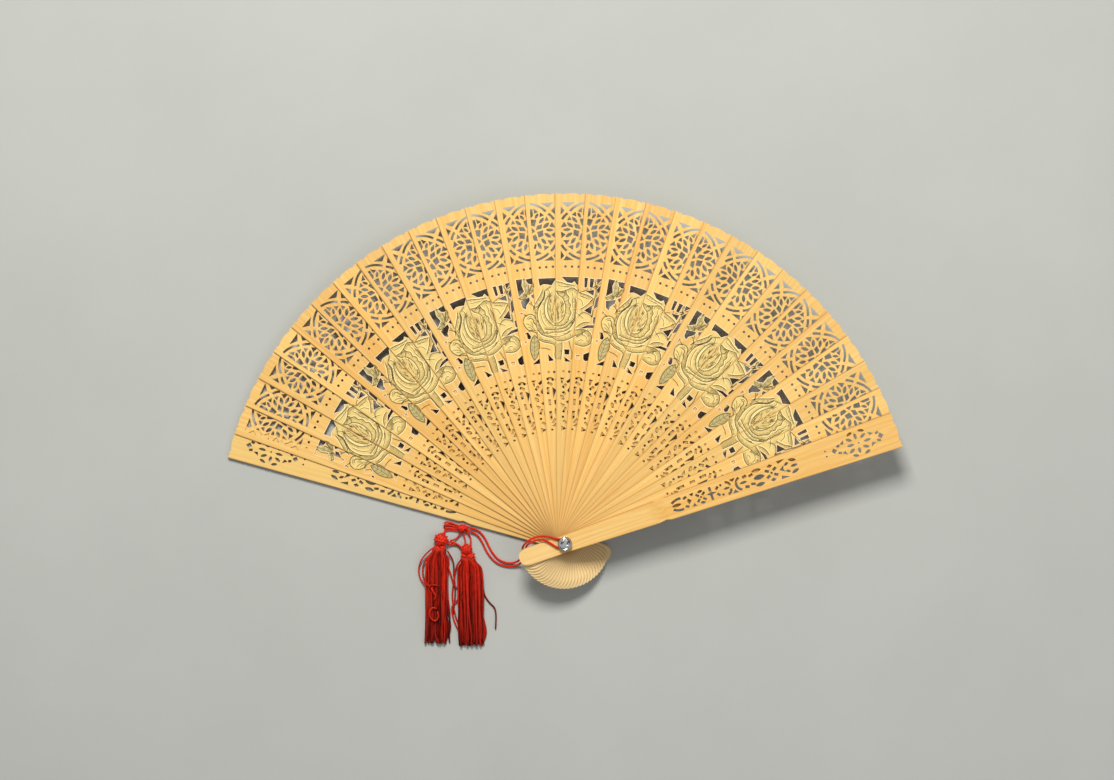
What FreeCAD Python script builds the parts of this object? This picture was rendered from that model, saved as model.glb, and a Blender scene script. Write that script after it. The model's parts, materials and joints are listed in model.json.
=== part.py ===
import FreeCAD, Part
import math
import os

# A brise folding fan of thirty pierced sandalwood sticks on one rivet, lying open on its back.
# Millimetres. The origin is the centre of the rivet's back face, +Z points at the viewer of the
# painted side and +Y runs through the middle of the open fan.

Vec = FreeCAD.Vector
UP = Vec(0, 0, 1)
MITRED = 2                  # makeOffset2D's code for sharp corners

# Driving dimensions of the fan
TIP_RADIUS = 180.0          # rivet to the scalloped tip edge
INNER_STICKS = 28
BACK_GUARD_ANGLE = 163.1    # direction of the back guard, degrees from +X
OPEN_ANGLE = 144.1          # back guard to front guard
FIRST_GAP = 3.9             # back guard to the first stick
LAST_GAP = 4.6              # last stick to the front guard
STEP_ANGLE = (OPEN_ANGLE - FIRST_GAP - LAST_GAP) / (INNER_STICKS - 1)

# Sticks: a plate that widens evenly from the rivet to the tip
STICK_THICKNESS = 0.6
STICK_GAP = 0.1
STICK_PITCH = STICK_THICKNESS + STICK_GAP
STICK_ROOT_HALF = 4.1       # half width at the rivet
STICK_TIP_HALF = 8.75
STICK_TAIL = 24.0           # rivet to the end of the tail
SMALL_SCALLOP = 1.9         # width of a small bump of the tip edge
SCALLOP_RISE = 0.8
MOUND_RISE = 0.95           # rise of the wide mound between the bumps
SAW_CUT = 0.3               # the openings below are the saw's path; it cuts this wide
GUARD_CUT = 0.5             # a coarser blade in the thicker guards, ...
MEDALLION_CUT = 0.46        # ... in the sticks' medallions near the tip ...
NECK_CUT = 0.6              # ... and in the small piercings towards the neck

# The tail ends in two arcs that meet in a blunt point, given as shares of the half width
TAIL_SHOULDER = 1.25        # from the end to where the rounding starts
STICK_TAIL_CORNER = 0.42    # from the end to the middle of a stick's rounding
STICK_TAIL_CORNER_HALF = 0.62   # half width there: the end is pointed
GUARD_TAIL_CORNER = 0.32    # a guard's end is blunter
GUARD_TAIL_CORNER_HALF = 0.78

# Guards: thicker than a stick, thinned around the rivet
GUARD_THICKNESS = 2.0
GUARD_NECK = 1.0            # thickness around the rivet
GUARD_ROOT_HALF = 4.5
GUARD_TIP_HALF = 9.3
GUARD_TAIL = 24.6
NECK_END = 46.0             # the neck rises to full thickness from here ...
PANEL_START = 55.0          # ... to here
NOTCH_RADIUS = 52.5         # shallow notch in both long edges
NOTCH_DEEPEST = 53.5
NOTCH_LENGTH = 7.0
NOTCH_DEPTH = 0.8

# Rivet
PIN_RADIUS = 1.5
HOLE_RADIUS = 1.6
FOOT_RADIUS = 3.8
FOOT_THICKNESS = 0.8
FOOT_ROUNDING = 0.4
WASHER_RADIUS = 3.7
WASHER_THICKNESS = 0.4
SETTING_RADIUS = 3.4
SETTING_HEIGHT = 1.3
SETTING_FLOOR = 0.5
SETTING_ROUNDING = 0.35
JEWEL_RADIUS = 2.9
JEWEL_FIT = 0.02            # gap round the jewel in its setting
JEWEL_GIRDLE = 0.9          # height of its round part
JEWEL_CROWN = 1.3           # height of its faceted part
JEWEL_TABLE = 0.5           # radius of its flat top, as a share of its own
JEWEL_SIDES = 8

# Cord
CORD_DIAMETER = 1.2
CORD_RADIUS = CORD_DIAMETER / 2
ARC_REACH = 0.45            # share of the shorter run that a bend takes up

# Heights of the stack
FIRST_STICK_Z = GUARD_THICKNESS + STICK_GAP
FRONT_GUARD_Z = FIRST_STICK_Z + INNER_STICKS * STICK_PITCH
NECK_TOP = FRONT_GUARD_Z + GUARD_NECK
WASHER_Z = NECK_TOP + STICK_GAP
CORD_EYE_Z = WASHER_Z + WASHER_THICKNESS + STICK_GAP + CORD_RADIUS
SETTING_Z = CORD_EYE_Z + CORD_RADIUS + STICK_GAP
JEWEL_Z = SETTING_Z + SETTING_FLOOR

# Flower panels repeat every four sticks: leaf, rose left half, rose right half, spiky leaf.
KINDS = ("leaf", "rose_left", "rose_right", "spiky")
MIRROR_LINE = 0.5           # rose_left and spiky mirror the others about this line


def half_width(radius, root_half, tip_half):
    """Half width of a stick at a distance from the rivet."""
    return root_half + (tip_half - root_half) * radius / TIP_RADIUS


def rotated(x, y, degrees):
    angle = math.radians(degrees)
    return (x * math.cos(angle) - y * math.sin(angle), x * math.sin(angle) + y * math.cos(angle))


def arc(start, middle, end):
    return Part.Arc(Vec(*start, 0), Vec(*middle, 0), Vec(*end, 0)).toShape()


def line(start, end):
    return Part.LineSegment(Vec(*start, 0), Vec(*end, 0)).toShape()


# Openings. Every opening is a closed wire in the stick's own plane: x across, y from the rivet.

def polygon(*points):
    corners = [Vec(x, y, 0) for x, y in points]
    return Part.makePolygon(corners + corners[:1])


def dot(x, y, diameter=1.3):
    return Part.Wire(Part.Circle(Vec(x, y, 0), UP, diameter / 2).toShape())


def almond(x, y, length, width, degrees):
    """Pointed oval: two arcs that meet at the ends."""
    ends = [rotated(side * length / 2, 0, degrees) for side in (-1, 1)]
    sides = [rotated(0, side * width / 2, degrees) for side in (-1, 1)]
    ends = [(x + dx, y + dy) for dx, dy in ends]
    sides = [(x + dx, y + dy) for dx, dy in sides]
    return Part.Wire([arc(ends[0], sides[0], ends[1]), arc(ends[1], sides[1], ends[0])])


def slot(start, end, width):
    """Straight slot with square ends."""
    dx = end[0] - start[0]
    dy = end[1] - start[1]
    scale = width / 2 / math.hypot(dx, dy)
    nx = -dy * scale
    ny = dx * scale
    return polygon((start[0] + nx, start[1] + ny), (end[0] + nx, end[1] + ny),
                   (end[0] - nx, end[1] - ny), (start[0] - nx, start[1] - ny))


def curved_slot(start, middle, end, width):
    """Slot of even width that follows an arc through three points."""
    centre = Part.Circle(Vec(*start, 0), Vec(*middle, 0), Vec(*end, 0)).Center

    def shifted(point, offset):
        away = Vec(*point, 0) - centre
        moved = centre + away * (1 + offset / away.Length)
        return (moved.x, moved.y)

    outer = [shifted(point, width / 2) for point in (start, middle, end)]
    inner = [shifted(point, -width / 2) for point in (start, middle, end)]
    return Part.Wire([arc(*outer), line(outer[2], inner[2]),
                      arc(inner[2], inner[1], inner[0]), line(inner[0], outer[0])])


def sawn(openings, cut):
    """Openings as cut: drilled dots keep their size, sawn shapes grow by half the cut."""
    return [opening if len(opening.Edges) == 1
            else opening.makeOffset2D(cut / 2, MITRED, False, False) for opening in openings]


def mirrored(wires, about=0.0):
    return [wire.mirror(Vec(about, 0, 0), Vec(1, 0, 0)) for wire in wires]


def half_medallion():
    """Left half of an oval medallion filled with a chrysanthemum, with its corner triangles."""
    return [
        polygon((-4.6, 175.2), (1.1, 175.2), (-2.0, 173.2)),
        polygon((-5.3, 172.8), (-3.8, 171.1), (-5.3, 169.6)),
        polygon((-4.8, 149.7), (-3.5, 147.8), (-4.8, 146.4)),
        polygon((-3.2, 145.7), (0.9, 145.9), (-2.1, 147.5)),
        curved_slot((-0.6, 171.1), (2.7, 173.8), (6.9, 175.3), 0.75),
        curved_slot((-4.5, 166.8), (-3.4, 168.4), (-2.1, 169.6), 0.8),
        curved_slot((-4.5, 153.2), (-3.5, 151.8), (-2.2, 150.6), 0.8),
        curved_slot((-0.6, 149.2), (2.2, 147.4), (5.5, 146.3), 0.75),
        polygon((3.6, 171.0), (5.3, 172.6), (5.1, 170.5)),
        polygon((6.2, 172.4), (7.1, 172.6), (7.1, 168.3), (6.2, 169.2)),
        polygon((0.7, 169.1), (2.1, 170.3), (2.4, 168.5)),
        almond(4.1, 168.9, 2.6, 1.0, -55),
        polygon((-1.7, 166.4), (-0.9, 167.9), (-0.1, 166.4)),
        almond(1.8, 166.4, 3.3, 1.2, -45),
        polygon((4.7, 166.8), (7.0, 167.1), (7.0, 164.3), (5.7, 163.8), (5.1, 165.2)),
        polygon((-3.6, 165.0), (-2.4, 163.2), (-4.9, 162.6)),
        almond(-0.5, 163.8, 3.5, 1.4, -38),
        polygon((1.9, 164.2), (4.1, 163.7), (4.7, 162.0), (2.2, 162.4)),
        polygon((6.9, 162.6), (6.9, 160.3), (5.7, 161.2)),
        almond(-2.1, 161.3, 3.3, 1.1, 6),
        polygon((1.6, 161.2), (4.1, 160.5), (3.6, 158.0), (1.5, 158.6)),
        polygon((-4.9, 159.8), (-3.0, 158.8), (-4.6, 157.3)),
        almond(-1.0, 158.6, 3.6, 1.3, 35),
        polygon((5.4, 159.3), (6.6, 158.6), (6.2, 156.6), (4.6, 156.2), (4.8, 157.9)),
        polygon((-3.5, 155.6), (-1.0, 155.8), (-2.1, 153.9)),
        almond(1.3, 155.7, 3.4, 1.3, 52),
        almond(3.6, 153.5, 3.2, 1.3, 65),
        polygon((-1.0, 152.6), (1.2, 153.2), (1.0, 151.3)),
        polygon((3.1, 149.6), (5.4, 151.0), (5.9, 148.8)),
        slot((5.6, 154.2), (6.1, 152.3), 0.6),
    ]


def upper_dots():
    return [dot(-2.5, 142.3), dot(0.9, 142.3), dot(4.3, 142.3)]


def leaf_openings():
    """Flower band of the stick that carries the leaves: openings round two drawn leaves."""
    return [
        polygon((-3.9, 137.5), (-0.9, 137.4), (-1.7, 134.4), (-0.9, 131.1), (-3.7, 128.9)),
        polygon((1.1, 137.0), (5.1, 137.2), (5.0, 135.3), (3.6, 134.2), (1.9, 135.0)),
        polygon((2.6, 128.4), (5.1, 129.5), (4.7, 127.2), (3.3, 127.0)),
        polygon((-3.2, 126.1), (1.4, 127.6), (1.3, 126.0), (-0.9, 123.7), (-1.2, 122.0), (-2.6, 123.0)),
        polygon((-4.2, 120.4), (-3.3, 120.2), (-3.9, 118.6)),
        polygon((-3.5, 109.6), (-2.0, 109.8), (-0.9, 107.5), (-1.4, 106.4), (-2.7, 106.7)),
        polygon((-4.4, 105.4), (-3.5, 105.2), (-4.1, 104.2)),
        polygon((-1.7, 93.3), (2.7, 96.2), (2.6, 93.2)),
    ]


def rose_left_openings():
    return [
        polygon((-4.3, 136.5), (4.8, 136.3), (3.5, 134.7), (2.1, 132.9),
                (0.2, 133.5), (-2.0, 133.8), (-3.8, 133.0)),
        polygon((-2.1, 97.3), (0.5, 94.2), (-1.9, 93.9)),
    ]


def rose_right_openings():
    return [
        polygon((-4.0, 136.8), (4.9, 136.8), (4.6, 132.6), (3.5, 133.2), (2.4, 135.0),
                (0.9, 133.9), (-1.4, 134.3)),
        polygon((-2.4, 99.4), (0.3, 99.4), (0.1, 97.1), (-2.1, 97.1)),
        polygon((-2.4, 95.7), (0.8, 93.4), (-2.3, 93.5)),
    ]


def spiky_openings():
    """Flower band between two roses: stems, a bud and pointed openings."""
    return [
        polygon((-4.4, 136.7), (-2.9, 136.7), (-2.9, 132.2), (-3.9, 131.9)),
        polygon((-1.4, 136.5), (0.4, 136.5), (0.0, 132.2), (-1.2, 132.3)),
        polygon((2.2, 136.8), (4.5, 136.8), (2.4, 134.2)),
        polygon((-2.7, 130.0), (0.9, 130.9), (0.9, 128.3)),
        polygon((2.6, 131.4), (4.5, 134.0), (4.2, 131.1), (3.1, 129.4)),
        polygon((2.6, 126.7), (3.8, 127.9), (3.5, 122.8), (2.0, 121.4)),
        polygon((-2.7, 120.0), (0.8, 122.9), (0.6, 118.6)),
        polygon((2.3, 116.8), (3.4, 117.3), (3.3, 113.9), (2.3, 113.9)),
        polygon((-3.5, 110.7), (-0.5, 112.5), (3.1, 112.8), (2.9, 111.6), (-0.4, 111.4)),
        polygon((-0.8, 97.3), (1.8, 98.7), (2.0, 94.7), (0.4, 94.2), (-0.6, 95.0)),
        polygon((-4.4, 96.7), (-2.9, 96.7), (-2.9, 95.1), (-4.4, 95.1)),
    ]


def outer_lattice():
    """Small piercings between the flower band and the plain neck, on leaf and rose_right sticks."""
    centre = [
        slot((-0.3, 82.8), (2.0, 84.5), 0.75),
        polygon((0.0, 78.4), (1.0, 80.0), (1.1, 77.0)),
        polygon((-0.5, 72.6), (1.0, 73.4), (0.6, 71.7)),
        almond(0.6, 67.3, 3.7, 0.95, 85),
    ]
    side = [
        polygon((-3.7, 84.7), (-2.4, 84.7), (-3.1, 82.4)),
        slot((-2.5, 80.0), (-1.2, 81.5), 0.8),
        slot((-2.4, 77.6), (-1.5, 76.4), 0.7),
        almond(-2.8, 74.9, 2.5, 1.15, -50),
        polygon((-3.2, 71.5), (-1.8, 70.9), (-2.5, 70.0)),
        slot((-2.1, 67.4), (-1.0, 69.5), 0.65),
        dot(-2.3, 64.8, 1.25),
        slot((-1.8, 62.8), (-0.5, 61.6), 0.6),
        polygon((-2.7, 59.8), (-1.0, 58.9), (-2.7, 58.1)),
    ]
    return centre + side + mirrored(side, MIRROR_LINE)


def inner_lattice():
    """Small piercings between the flower band and the plain neck, on rose_left and spiky sticks."""
    centre = [
        polygon((-0.8, 79.8), (0.6, 78.7), (-0.3, 76.8), (-0.7, 75.7)),
        slot((0.3, 73.4), (0.3, 71.7), 1.0),
        almond(0.1, 67.2, 3.6, 1.05, 97),
    ]
    side = [
        curved_slot((-3.4, 84.6), (-1.8, 85.0), (-0.4, 84.0), 0.65),
        slot((-3.1, 82.8), (-1.3, 81.6), 0.7),
        slot((-3.3, 80.2), (-3.3, 77.1), 0.8),
        slot((-2.9, 73.8), (-2.9, 71.5), 0.7),
        slot((-2.75, 67.7), (-2.7, 63.9), 0.85),
        slot((-1.9, 62.0), (-0.6, 63.8), 0.65),
        polygon((-1.7, 60.5), (-0.5, 61.4), (-0.4, 60.1)),
        dot(-2.5, 58.4, 1.25),
    ]
    return centre + side + mirrored(side, MIRROR_LINE)


def lower_dots():
    return [dot(-2.5, 88.1), dot(0.5, 88.1), dot(3.4, 88.1)]


def stick_openings(kind):
    flower = {"leaf": leaf_openings, "rose_left": rose_left_openings,
              "rose_right": rose_right_openings, "spiky": spiky_openings}[kind]()
    shared = sawn(half_medallion(), MEDALLION_CUT) + upper_dots() + lower_dots()
    if kind in ("leaf", "rose_right"):
        return shared + sawn(flower, SAW_CUT) + sawn(outer_lattice(), NECK_CUT)
    neck = sawn(inner_lattice(), NECK_CUT)
    return mirrored(shared, MIRROR_LINE) + sawn(flower, SAW_CUT) + neck


def guard_openings():
    """Diamond rosette near the tip and a long pierced panel, both symmetric."""
    centre = [
        polygon((-1.2, 171.0), (0.0, 172.3), (1.2, 171.0), (0.0, 169.9)),
        almond(0, 163.9, 3.2, 0.95, 90),
        dot(0, 159.2, 0.9),
        almond(0, 154.9, 3.2, 0.95, 90),
        polygon((-1.1, 145.9), (0.0, 147.2), (1.1, 145.9), (0.0, 145.0)),
        almond(0, 124.2, 3.2, 0.95, 90),
        polygon((-1.2, 118.6), (0.0, 118.1), (1.2, 118.6), (0.0, 116.7)),
        dot(0, 112.0, 1.3),
        almond(0, 105.2, 5.4, 2.1, 90),
        almond(0, 96.7, 3.2, 0.9, 90),
        curved_slot((-3.1, 94.9), (0.0, 92.9), (3.1, 94.9), 0.8),
        almond(0, 87.7, 2.6, 0.8, 90),
        polygon((-3.2, 79.6), (-0.5, 79.6), (0.0, 81.3), (0.5, 79.6), (3.2, 79.6),
                (3.2, 78.8), (0.5, 78.8), (0.0, 77.6), (-0.5, 78.8), (-3.2, 78.8)),
        dot(0, 73.8, 1.1),
        polygon((-1.2, 67.1), (0.0, 68.3), (1.2, 67.1), (0.0, 66.6)),
        almond(0, 60.6, 4.3, 1.3, 90),
    ]
    side = [
        slot((-2.2, 170.2), (-1.8, 168.9), 0.8),
        polygon((-3.5, 165.5), (-2.2, 165.9), (-2.5, 167.2)),
        almond(-2.9, 162.3, 2.8, 1.1, 118),
        almond(-5.7, 162.2, 2.8, 1.0, 70),
        almond(-3.7, 158.5, 2.6, 1.1, 0),
        almond(-5.7, 155.9, 2.6, 1.0, 110),
        almond(-2.9, 154.8, 2.8, 1.1, 62),
        polygon((-3.4, 151.7), (-2.0, 151.3), (-2.4, 150.1)),
        slot((-2.0, 149.1), (-1.6, 148.0), 0.8),
        dot(-1.4, 141.4, 0.9),
        almond(-3.0, 124.0, 3.6, 1.2, 72),
        almond(-1.9, 120.5, 2.0, 0.9, 118),
        polygon((-4.5, 119.3), (-3.4, 116.7), (-4.6, 116.3)),
        slot((-1.9, 114.8), (-1.1, 113.3), 0.9),
        slot((-1.9, 109.2), (-1.1, 110.7), 0.9),
        polygon((-4.3, 112.0), (-3.6, 113.1), (-2.9, 112.0), (-3.6, 110.9)),
        almond(-3.7, 104.8, 4.4, 1.5, 88),
        slot((-2.6, 102.3), (-2.1, 100.5), 0.8),
        slot((-2.9, 98.9), (-2.5, 97.2), 1.0),
        polygon((-3.6, 92.7), (-2.3, 91.6), (-3.5, 90.5)),
        curved_slot((-3.1, 87.9), (-2.4, 89.2), (-1.1, 89.7), 0.8),
        dot(-2.5, 85.1, 1.3),
        slot((-2.2, 83.4), (-1.2, 82.4), 0.8),
        almond(-2.9, 74.0, 2.2, 1.0, 100),
        slot((-1.9, 76.0), (-0.9, 74.9), 0.7),
        slot((-1.9, 71.6), (-0.9, 72.7), 0.7),
        polygon((-3.3, 70.2), (-2.1, 69.6), (-3.1, 68.7)),
        slot((-2.6, 66.4), (-2.0, 65.0), 0.8),
        curved_slot((-2.9, 63.4), (-2.7, 60.8), (-1.7, 58.6), 0.8),
    ]
    return sawn(centre + side + mirrored(side), GUARD_CUT)


def scalloped_tip(half):
    """Tip edge from left to right: two small bumps, a wide mound and two small bumps."""
    stops = [-half, SMALL_SCALLOP - half, 2 * SMALL_SCALLOP - half]
    stops += [-x for x in reversed(stops)]
    low = TIP_RADIUS - SCALLOP_RISE
    edges = []
    for left, right in zip(stops, stops[1:]):
        rise = SCALLOP_RISE if right - left < 2 * SMALL_SCALLOP else MOUND_RISE
        edges.append(arc((left, low), ((left + right) / 2, low + rise), (right, low)))
    return edges


def blade_outline(root_half, tip_half, tail, tail_corner, notched):
    """Outline of a stick that points along +Y, with its rivet hole at the origin."""
    low = TIP_RADIUS - SCALLOP_RISE

    def side(radius):
        return half_width(radius, root_half, tip_half)

    shoulder = tail - TAIL_SHOULDER * root_half
    corner = tail - tail_corner[0] * root_half
    corner_half = tail_corner[1] * root_half
    stations = [(side(0), 0), (root_half, -shoulder)]
    if notched:
        start = NOTCH_RADIUS - NOTCH_LENGTH / 2
        end = NOTCH_RADIUS + NOTCH_LENGTH / 2
        deepest = (side(NOTCH_DEEPEST) - NOTCH_DEPTH, NOTCH_DEEPEST)
        stations = [(side(end), end), deepest, (side(start), start)] + stations
    right = [(tip_half, low)] + stations
    edges = scalloped_tip(tip_half)
    edges += [line(a, b) for a, b in zip(right, right[1:])]
    edges.append(arc((root_half, -shoulder), (corner_half, -corner), (0, -tail)))
    edges.append(arc((0, -tail), (-corner_half, -corner), (-root_half, -shoulder)))
    left = [(-x, y) for x, y in reversed(right)]
    edges += [line(a, b) for a, b in zip(left, left[1:])]
    return Part.Wire(edges)


def plate(outline, openings, bottom, thickness):
    """Flat pierced plate from an outline and its openings."""
    holes = openings + [dot(0, 0, 2 * HOLE_RADIUS)]
    face = Part.makeFace([outline] + holes, "Part::FaceMakerCheese")
    face.translate(Vec(0, 0, bottom))
    return face.extrude(Vec(0, 0, thickness))


def turned(shape, degrees):
    """Swing a stick modelled along +Y round to its own direction."""
    placed = shape.copy()
    placed.rotate(Vec(0, 0, 0), UP, degrees - 90)
    return placed


def stick(kind, bottom):
    tail_corner = (STICK_TAIL_CORNER, STICK_TAIL_CORNER_HALF)
    outline = blade_outline(STICK_ROOT_HALF, STICK_TIP_HALF, STICK_TAIL, tail_corner, notched=False)
    return plate(outline, stick_openings(kind), bottom, STICK_THICKNESS)


def guard(bottom, outer_side):
    """Guard stick. outer_side is +1 where the outer face is on top, -1 where it is below."""
    tail_corner = (GUARD_TAIL_CORNER, GUARD_TAIL_CORNER_HALF)
    outline = blade_outline(GUARD_ROOT_HALF, GUARD_TIP_HALF, GUARD_TAIL, tail_corner, notched=True)
    body = plate(outline, guard_openings(), bottom, GUARD_THICKNESS)
    outer = bottom + (GUARD_THICKNESS if outer_side > 0 else 0)
    thinning = GUARD_THICKNESS - GUARD_NECK
    neck = outer - outer_side * thinning
    beyond = outer + outer_side * thinning
    past_panel = 2 * PANEL_START - NECK_END
    left = -2 * GUARD_TIP_HALF
    tail = -2 * GUARD_TAIL
    corners = [Vec(left, tail, neck), Vec(left, NECK_END, neck),
               Vec(left, past_panel, beyond), Vec(left, tail, beyond)]
    profile = Part.makePolygon(corners + corners[:1])
    cutter = Part.Face(profile).extrude(Vec(-2 * left, 0, 0))
    return body.cut(cutter)


def ring(outer, inner, bottom, height):
    disc = Part.makeCylinder(outer, height, Vec(0, 0, bottom))
    return disc.cut(Part.makeCylinder(inner, height, Vec(0, 0, bottom)))


def round_edges_at(shape, height):
    """The full circles of a turned piece at one height."""
    return [edge for edge in shape.Edges
            if abs(edge.CenterOfMass.z - height) < 0.01 and edge.isClosed()]


def rivet_foot():
    foot = Part.makeCylinder(FOOT_RADIUS, FOOT_THICKNESS)
    return foot.makeFillet(FOOT_ROUNDING, round_edges_at(foot, FOOT_THICKNESS))


def jewel_setting():
    """Metal cup that grips the jewel: a shallow dish with a raised rim."""
    cup = Part.makeCylinder(SETTING_RADIUS, SETTING_HEIGHT, Vec(0, 0, SETTING_Z))
    cup = cup.makeFillet(SETTING_ROUNDING, round_edges_at(cup, SETTING_Z))
    well = Part.makeCylinder(JEWEL_RADIUS + JEWEL_FIT, SETTING_HEIGHT, Vec(0, 0, JEWEL_Z))
    return cup.cut(well)


def jewel():
    """Faceted stone: an eight-sided crown over a round girdle."""
    base = Part.makeCylinder(JEWEL_RADIUS, JEWEL_GIRDLE, Vec(0, 0, JEWEL_Z))
    crown_z = JEWEL_Z + JEWEL_GIRDLE
    rings = []
    for radius, height in ((JEWEL_RADIUS - JEWEL_FIT, crown_z),
                           (JEWEL_TABLE * JEWEL_RADIUS, crown_z + JEWEL_CROWN)):
        ring_points = []
        for corner in range(JEWEL_SIDES):
            x, y = rotated(radius, 0, 360 * (corner + 0.5) / JEWEL_SIDES)
            ring_points.append(Vec(x, y, height))
        rings.append(Part.makePolygon(ring_points + ring_points[:1]))
    crown = Part.makeLoft(rings, True, True)
    return base.fuse(crown).removeSplitter()


def cord_eye():
    """The part of the cord that goes round the rivet's neck: a half ring, open towards -X."""
    centre = PIN_RADIUS + CORD_RADIUS + STICK_GAP
    section = Part.Circle(Vec(0, -centre, CORD_EYE_Z), Vec(1, 0, 0), CORD_RADIUS)
    face = Part.Face(Part.Wire(section.toShape()))
    return face.revolve(Vec(0, 0, CORD_EYE_Z), UP, 180)


def stick_angle(index):
    return BACK_GUARD_ANGLE - FIRST_GAP - STEP_ANGLE * (index - 1)


# The cord's two strands leave the eye side by side and lie on the front guard, then drop past
# the edge of its tail, where neither the tails nor the closed pack ever come. They pass under
# the tails and curl over the surface to the bow.
STRAND_A = [
    (0, 2.2, CORD_EYE_Z), (-4.0, 2.5, CORD_EYE_Z), (-8.6, 3.9, CORD_EYE_Z), (-13.4, 4.1, 24.0),
    (-17.9, 2.3, 24.2), (-21.2, -0.5, 23.0), (-21.9, -2.8, 18.0), (-21.9, -5.4, 12.4),
    (-22.6, -8.4, 6.6), (-25.2, -11.0, 2.0), (-30.0, -11.6, 0.7), (-35.0, -9.6, 0.7),
    (-38.8, -4.4, 0.7), (-41.6, 2.0, 0.7), (-45.6, 6.4, 1.0), (-50.8, 7.3, 1.9),
]
STRAND_B = [
    (0, -2.2, CORD_EYE_Z), (-3.2, -2.3, CORD_EYE_Z), (-6.6, -0.2, CORD_EYE_Z),
    (-10.4, 2.2, CORD_EYE_Z), (-14.6, 2.2, 24.1), (-17.6, 0.7, 24.2), (-19.7, -0.8, 22.3),
    (-20.1, -2.8, 17.2), (-20.3, -5.8, 11.2), (-21.2, -9.4, 5.4), (-24.4, -12.6, 1.4),
    (-29.8, -13.4, 0.7), (-35.6, -11.6, 0.7), (-40.2, -6.6, 0.7), (-43.0, -0.2, 0.7),
    (-46.4, 4.4, 1.0), (-50.8, 5.7, 1.9),
]


def cord_tube(name, points):
    """Round cord along straight runs joined by tangent arcs; prints its bends and length."""
    corners = [Vec(*point) for point in points]
    edges = []
    start = corners[0]
    radii = []
    for before, corner, after in zip(corners, corners[1:], corners[2:]):
        run_in = corner - before
        run_out = after - corner
        turn = run_in.getAngle(run_out)
        reach = ARC_REACH * min(run_in.Length, run_out.Length)
        radii.append(reach / math.tan(turn / 2))
        enter = corner - run_in.normalize() * reach
        leave = corner + run_out.normalize() * reach
        toward = (enter + leave) * 0.5 - corner
        centre = corner + toward * (math.hypot(radii[-1], reach) / toward.Length)
        middle = centre + (corner - centre).normalize() * radii[-1]
        edges.append(Part.LineSegment(start, enter).toShape())
        edges.append(Part.Arc(enter, middle, leave).toShape())
        start = leave
    edges.append(Part.LineSegment(start, corners[-1]).toShape())
    path = Part.Wire(edges)
    direction = corners[1] - corners[0]
    section = Part.Wire(Part.Circle(corners[0], direction, CORD_RADIUS).toShape())
    tube = path.makePipeShell([section], True, False)
    expected = math.pi * CORD_RADIUS ** 2 * path.Length
    print(name, "length %.1f" % path.Length, "volume ratio %.3f" % (tube.Volume / expected),
          "radii", ["%.1f" % radius for radius in radii])
    return tube


def pebble(x, y, z, half_x, half_y, half_z):
    """Closed rounded solid: an ellipsoid about a point."""
    matrix = FreeCAD.Matrix()
    matrix.scale(half_x, half_y, half_z)
    shape = Part.makeSphere(1.0).transformGeometry(matrix)
    shape.translate(Vec(x, y, z))
    return shape


# Bow and tassels lie on the surface below the back guard.
SURFACE_GAP = 0.2
BOW = (-53.2, 6.8, 2.3)
BOW_HALF = (2.7, 2.4, 2.1)
BOW_LOOPS_Z = (0.4, 3.4)
# Outline of the bow's loops, from the knot out to the left and back
BOW_LOOPS = [(-56.0, 5.7), (-56.0, 8.2), (-60.2, 9.6), (-62.6, 8.6), (-62.6, 6.4)]
LEFT_HEAD = (-64.0, 0.2, 3.6)
RIGHT_HEAD = (-50.6, -5.6, 3.6)
HEAD_HALF = (3.9, 4.1, 3.4)
# Short cords from the bow to each tassel head and between the heads
LINK_RADIUS = 0.5
LINKS = [
    ((-62.0, 6.2, 1.8), (-63.4, 3.6, 3.4)),
    ((-52.8, 4.8, 2.3), (-51.6, -2.2, 3.6)),
    ((-51.6, 5.2, 2.3), (-50.0, -2.2, 3.6)),
    ((-60.6, -0.6, 3.4), (-53.8, -3.8, 3.4)),
]
# A skirt of threads is narrow under its head, fuller a little below and flares to its end.
SKIRT_THICKNESS = 4.6
SKIRT_ROUNDING = 1.8
SKIRT_TOP_HALF = 3.2
SKIRT_FULL_HALF = 5.4
SKIRT_FULL_DROP = 9.0
SKIRT_HEAD_GAP = 0.1


def bow_loops():
    """The loops of the bow, lying side by side, as one flat pad."""
    low, high = BOW_LOOPS_Z
    outline = polygon(*BOW_LOOPS)
    outline.translate(UP * low)
    return Part.Face(outline).extrude(UP * (high - low))


def tassel_links():
    tubes = []
    for start, end in LINKS:
        along = Vec(*end) - Vec(*start)
        tubes.append(Part.makeCylinder(LINK_RADIUS, along.Length, Vec(*start), along))
    return Part.makeCompound(tubes)


def skirt(head, bottom_left, bottom_right, bottom_y):
    """Hanging threads of a tassel as one flattened, slightly flared block."""
    x, y, _ = head
    top = y - HEAD_HALF[1] - SKIRT_HEAD_GAP
    full = top - SKIRT_FULL_DROP
    outline = polygon((x - SKIRT_TOP_HALF, top), (x + SKIRT_TOP_HALF, top),
                      (x + SKIRT_FULL_HALF, full), (bottom_right, bottom_y),
                      (bottom_left, bottom_y), (x - SKIRT_FULL_HALF, full))
    outline.translate(UP * SURFACE_GAP)
    block = Part.Face(outline).extrude(UP * SKIRT_THICKNESS)
    upper = SURFACE_GAP + SKIRT_THICKNESS
    lengthwise = [edge for edge in block.Edges
                  if abs(edge.CenterOfMass.z - upper) < 0.01 and edge.Length > 2 * SKIRT_FULL_DROP]
    return block.makeFillet(SKIRT_ROUNDING, lengthwise)


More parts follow.
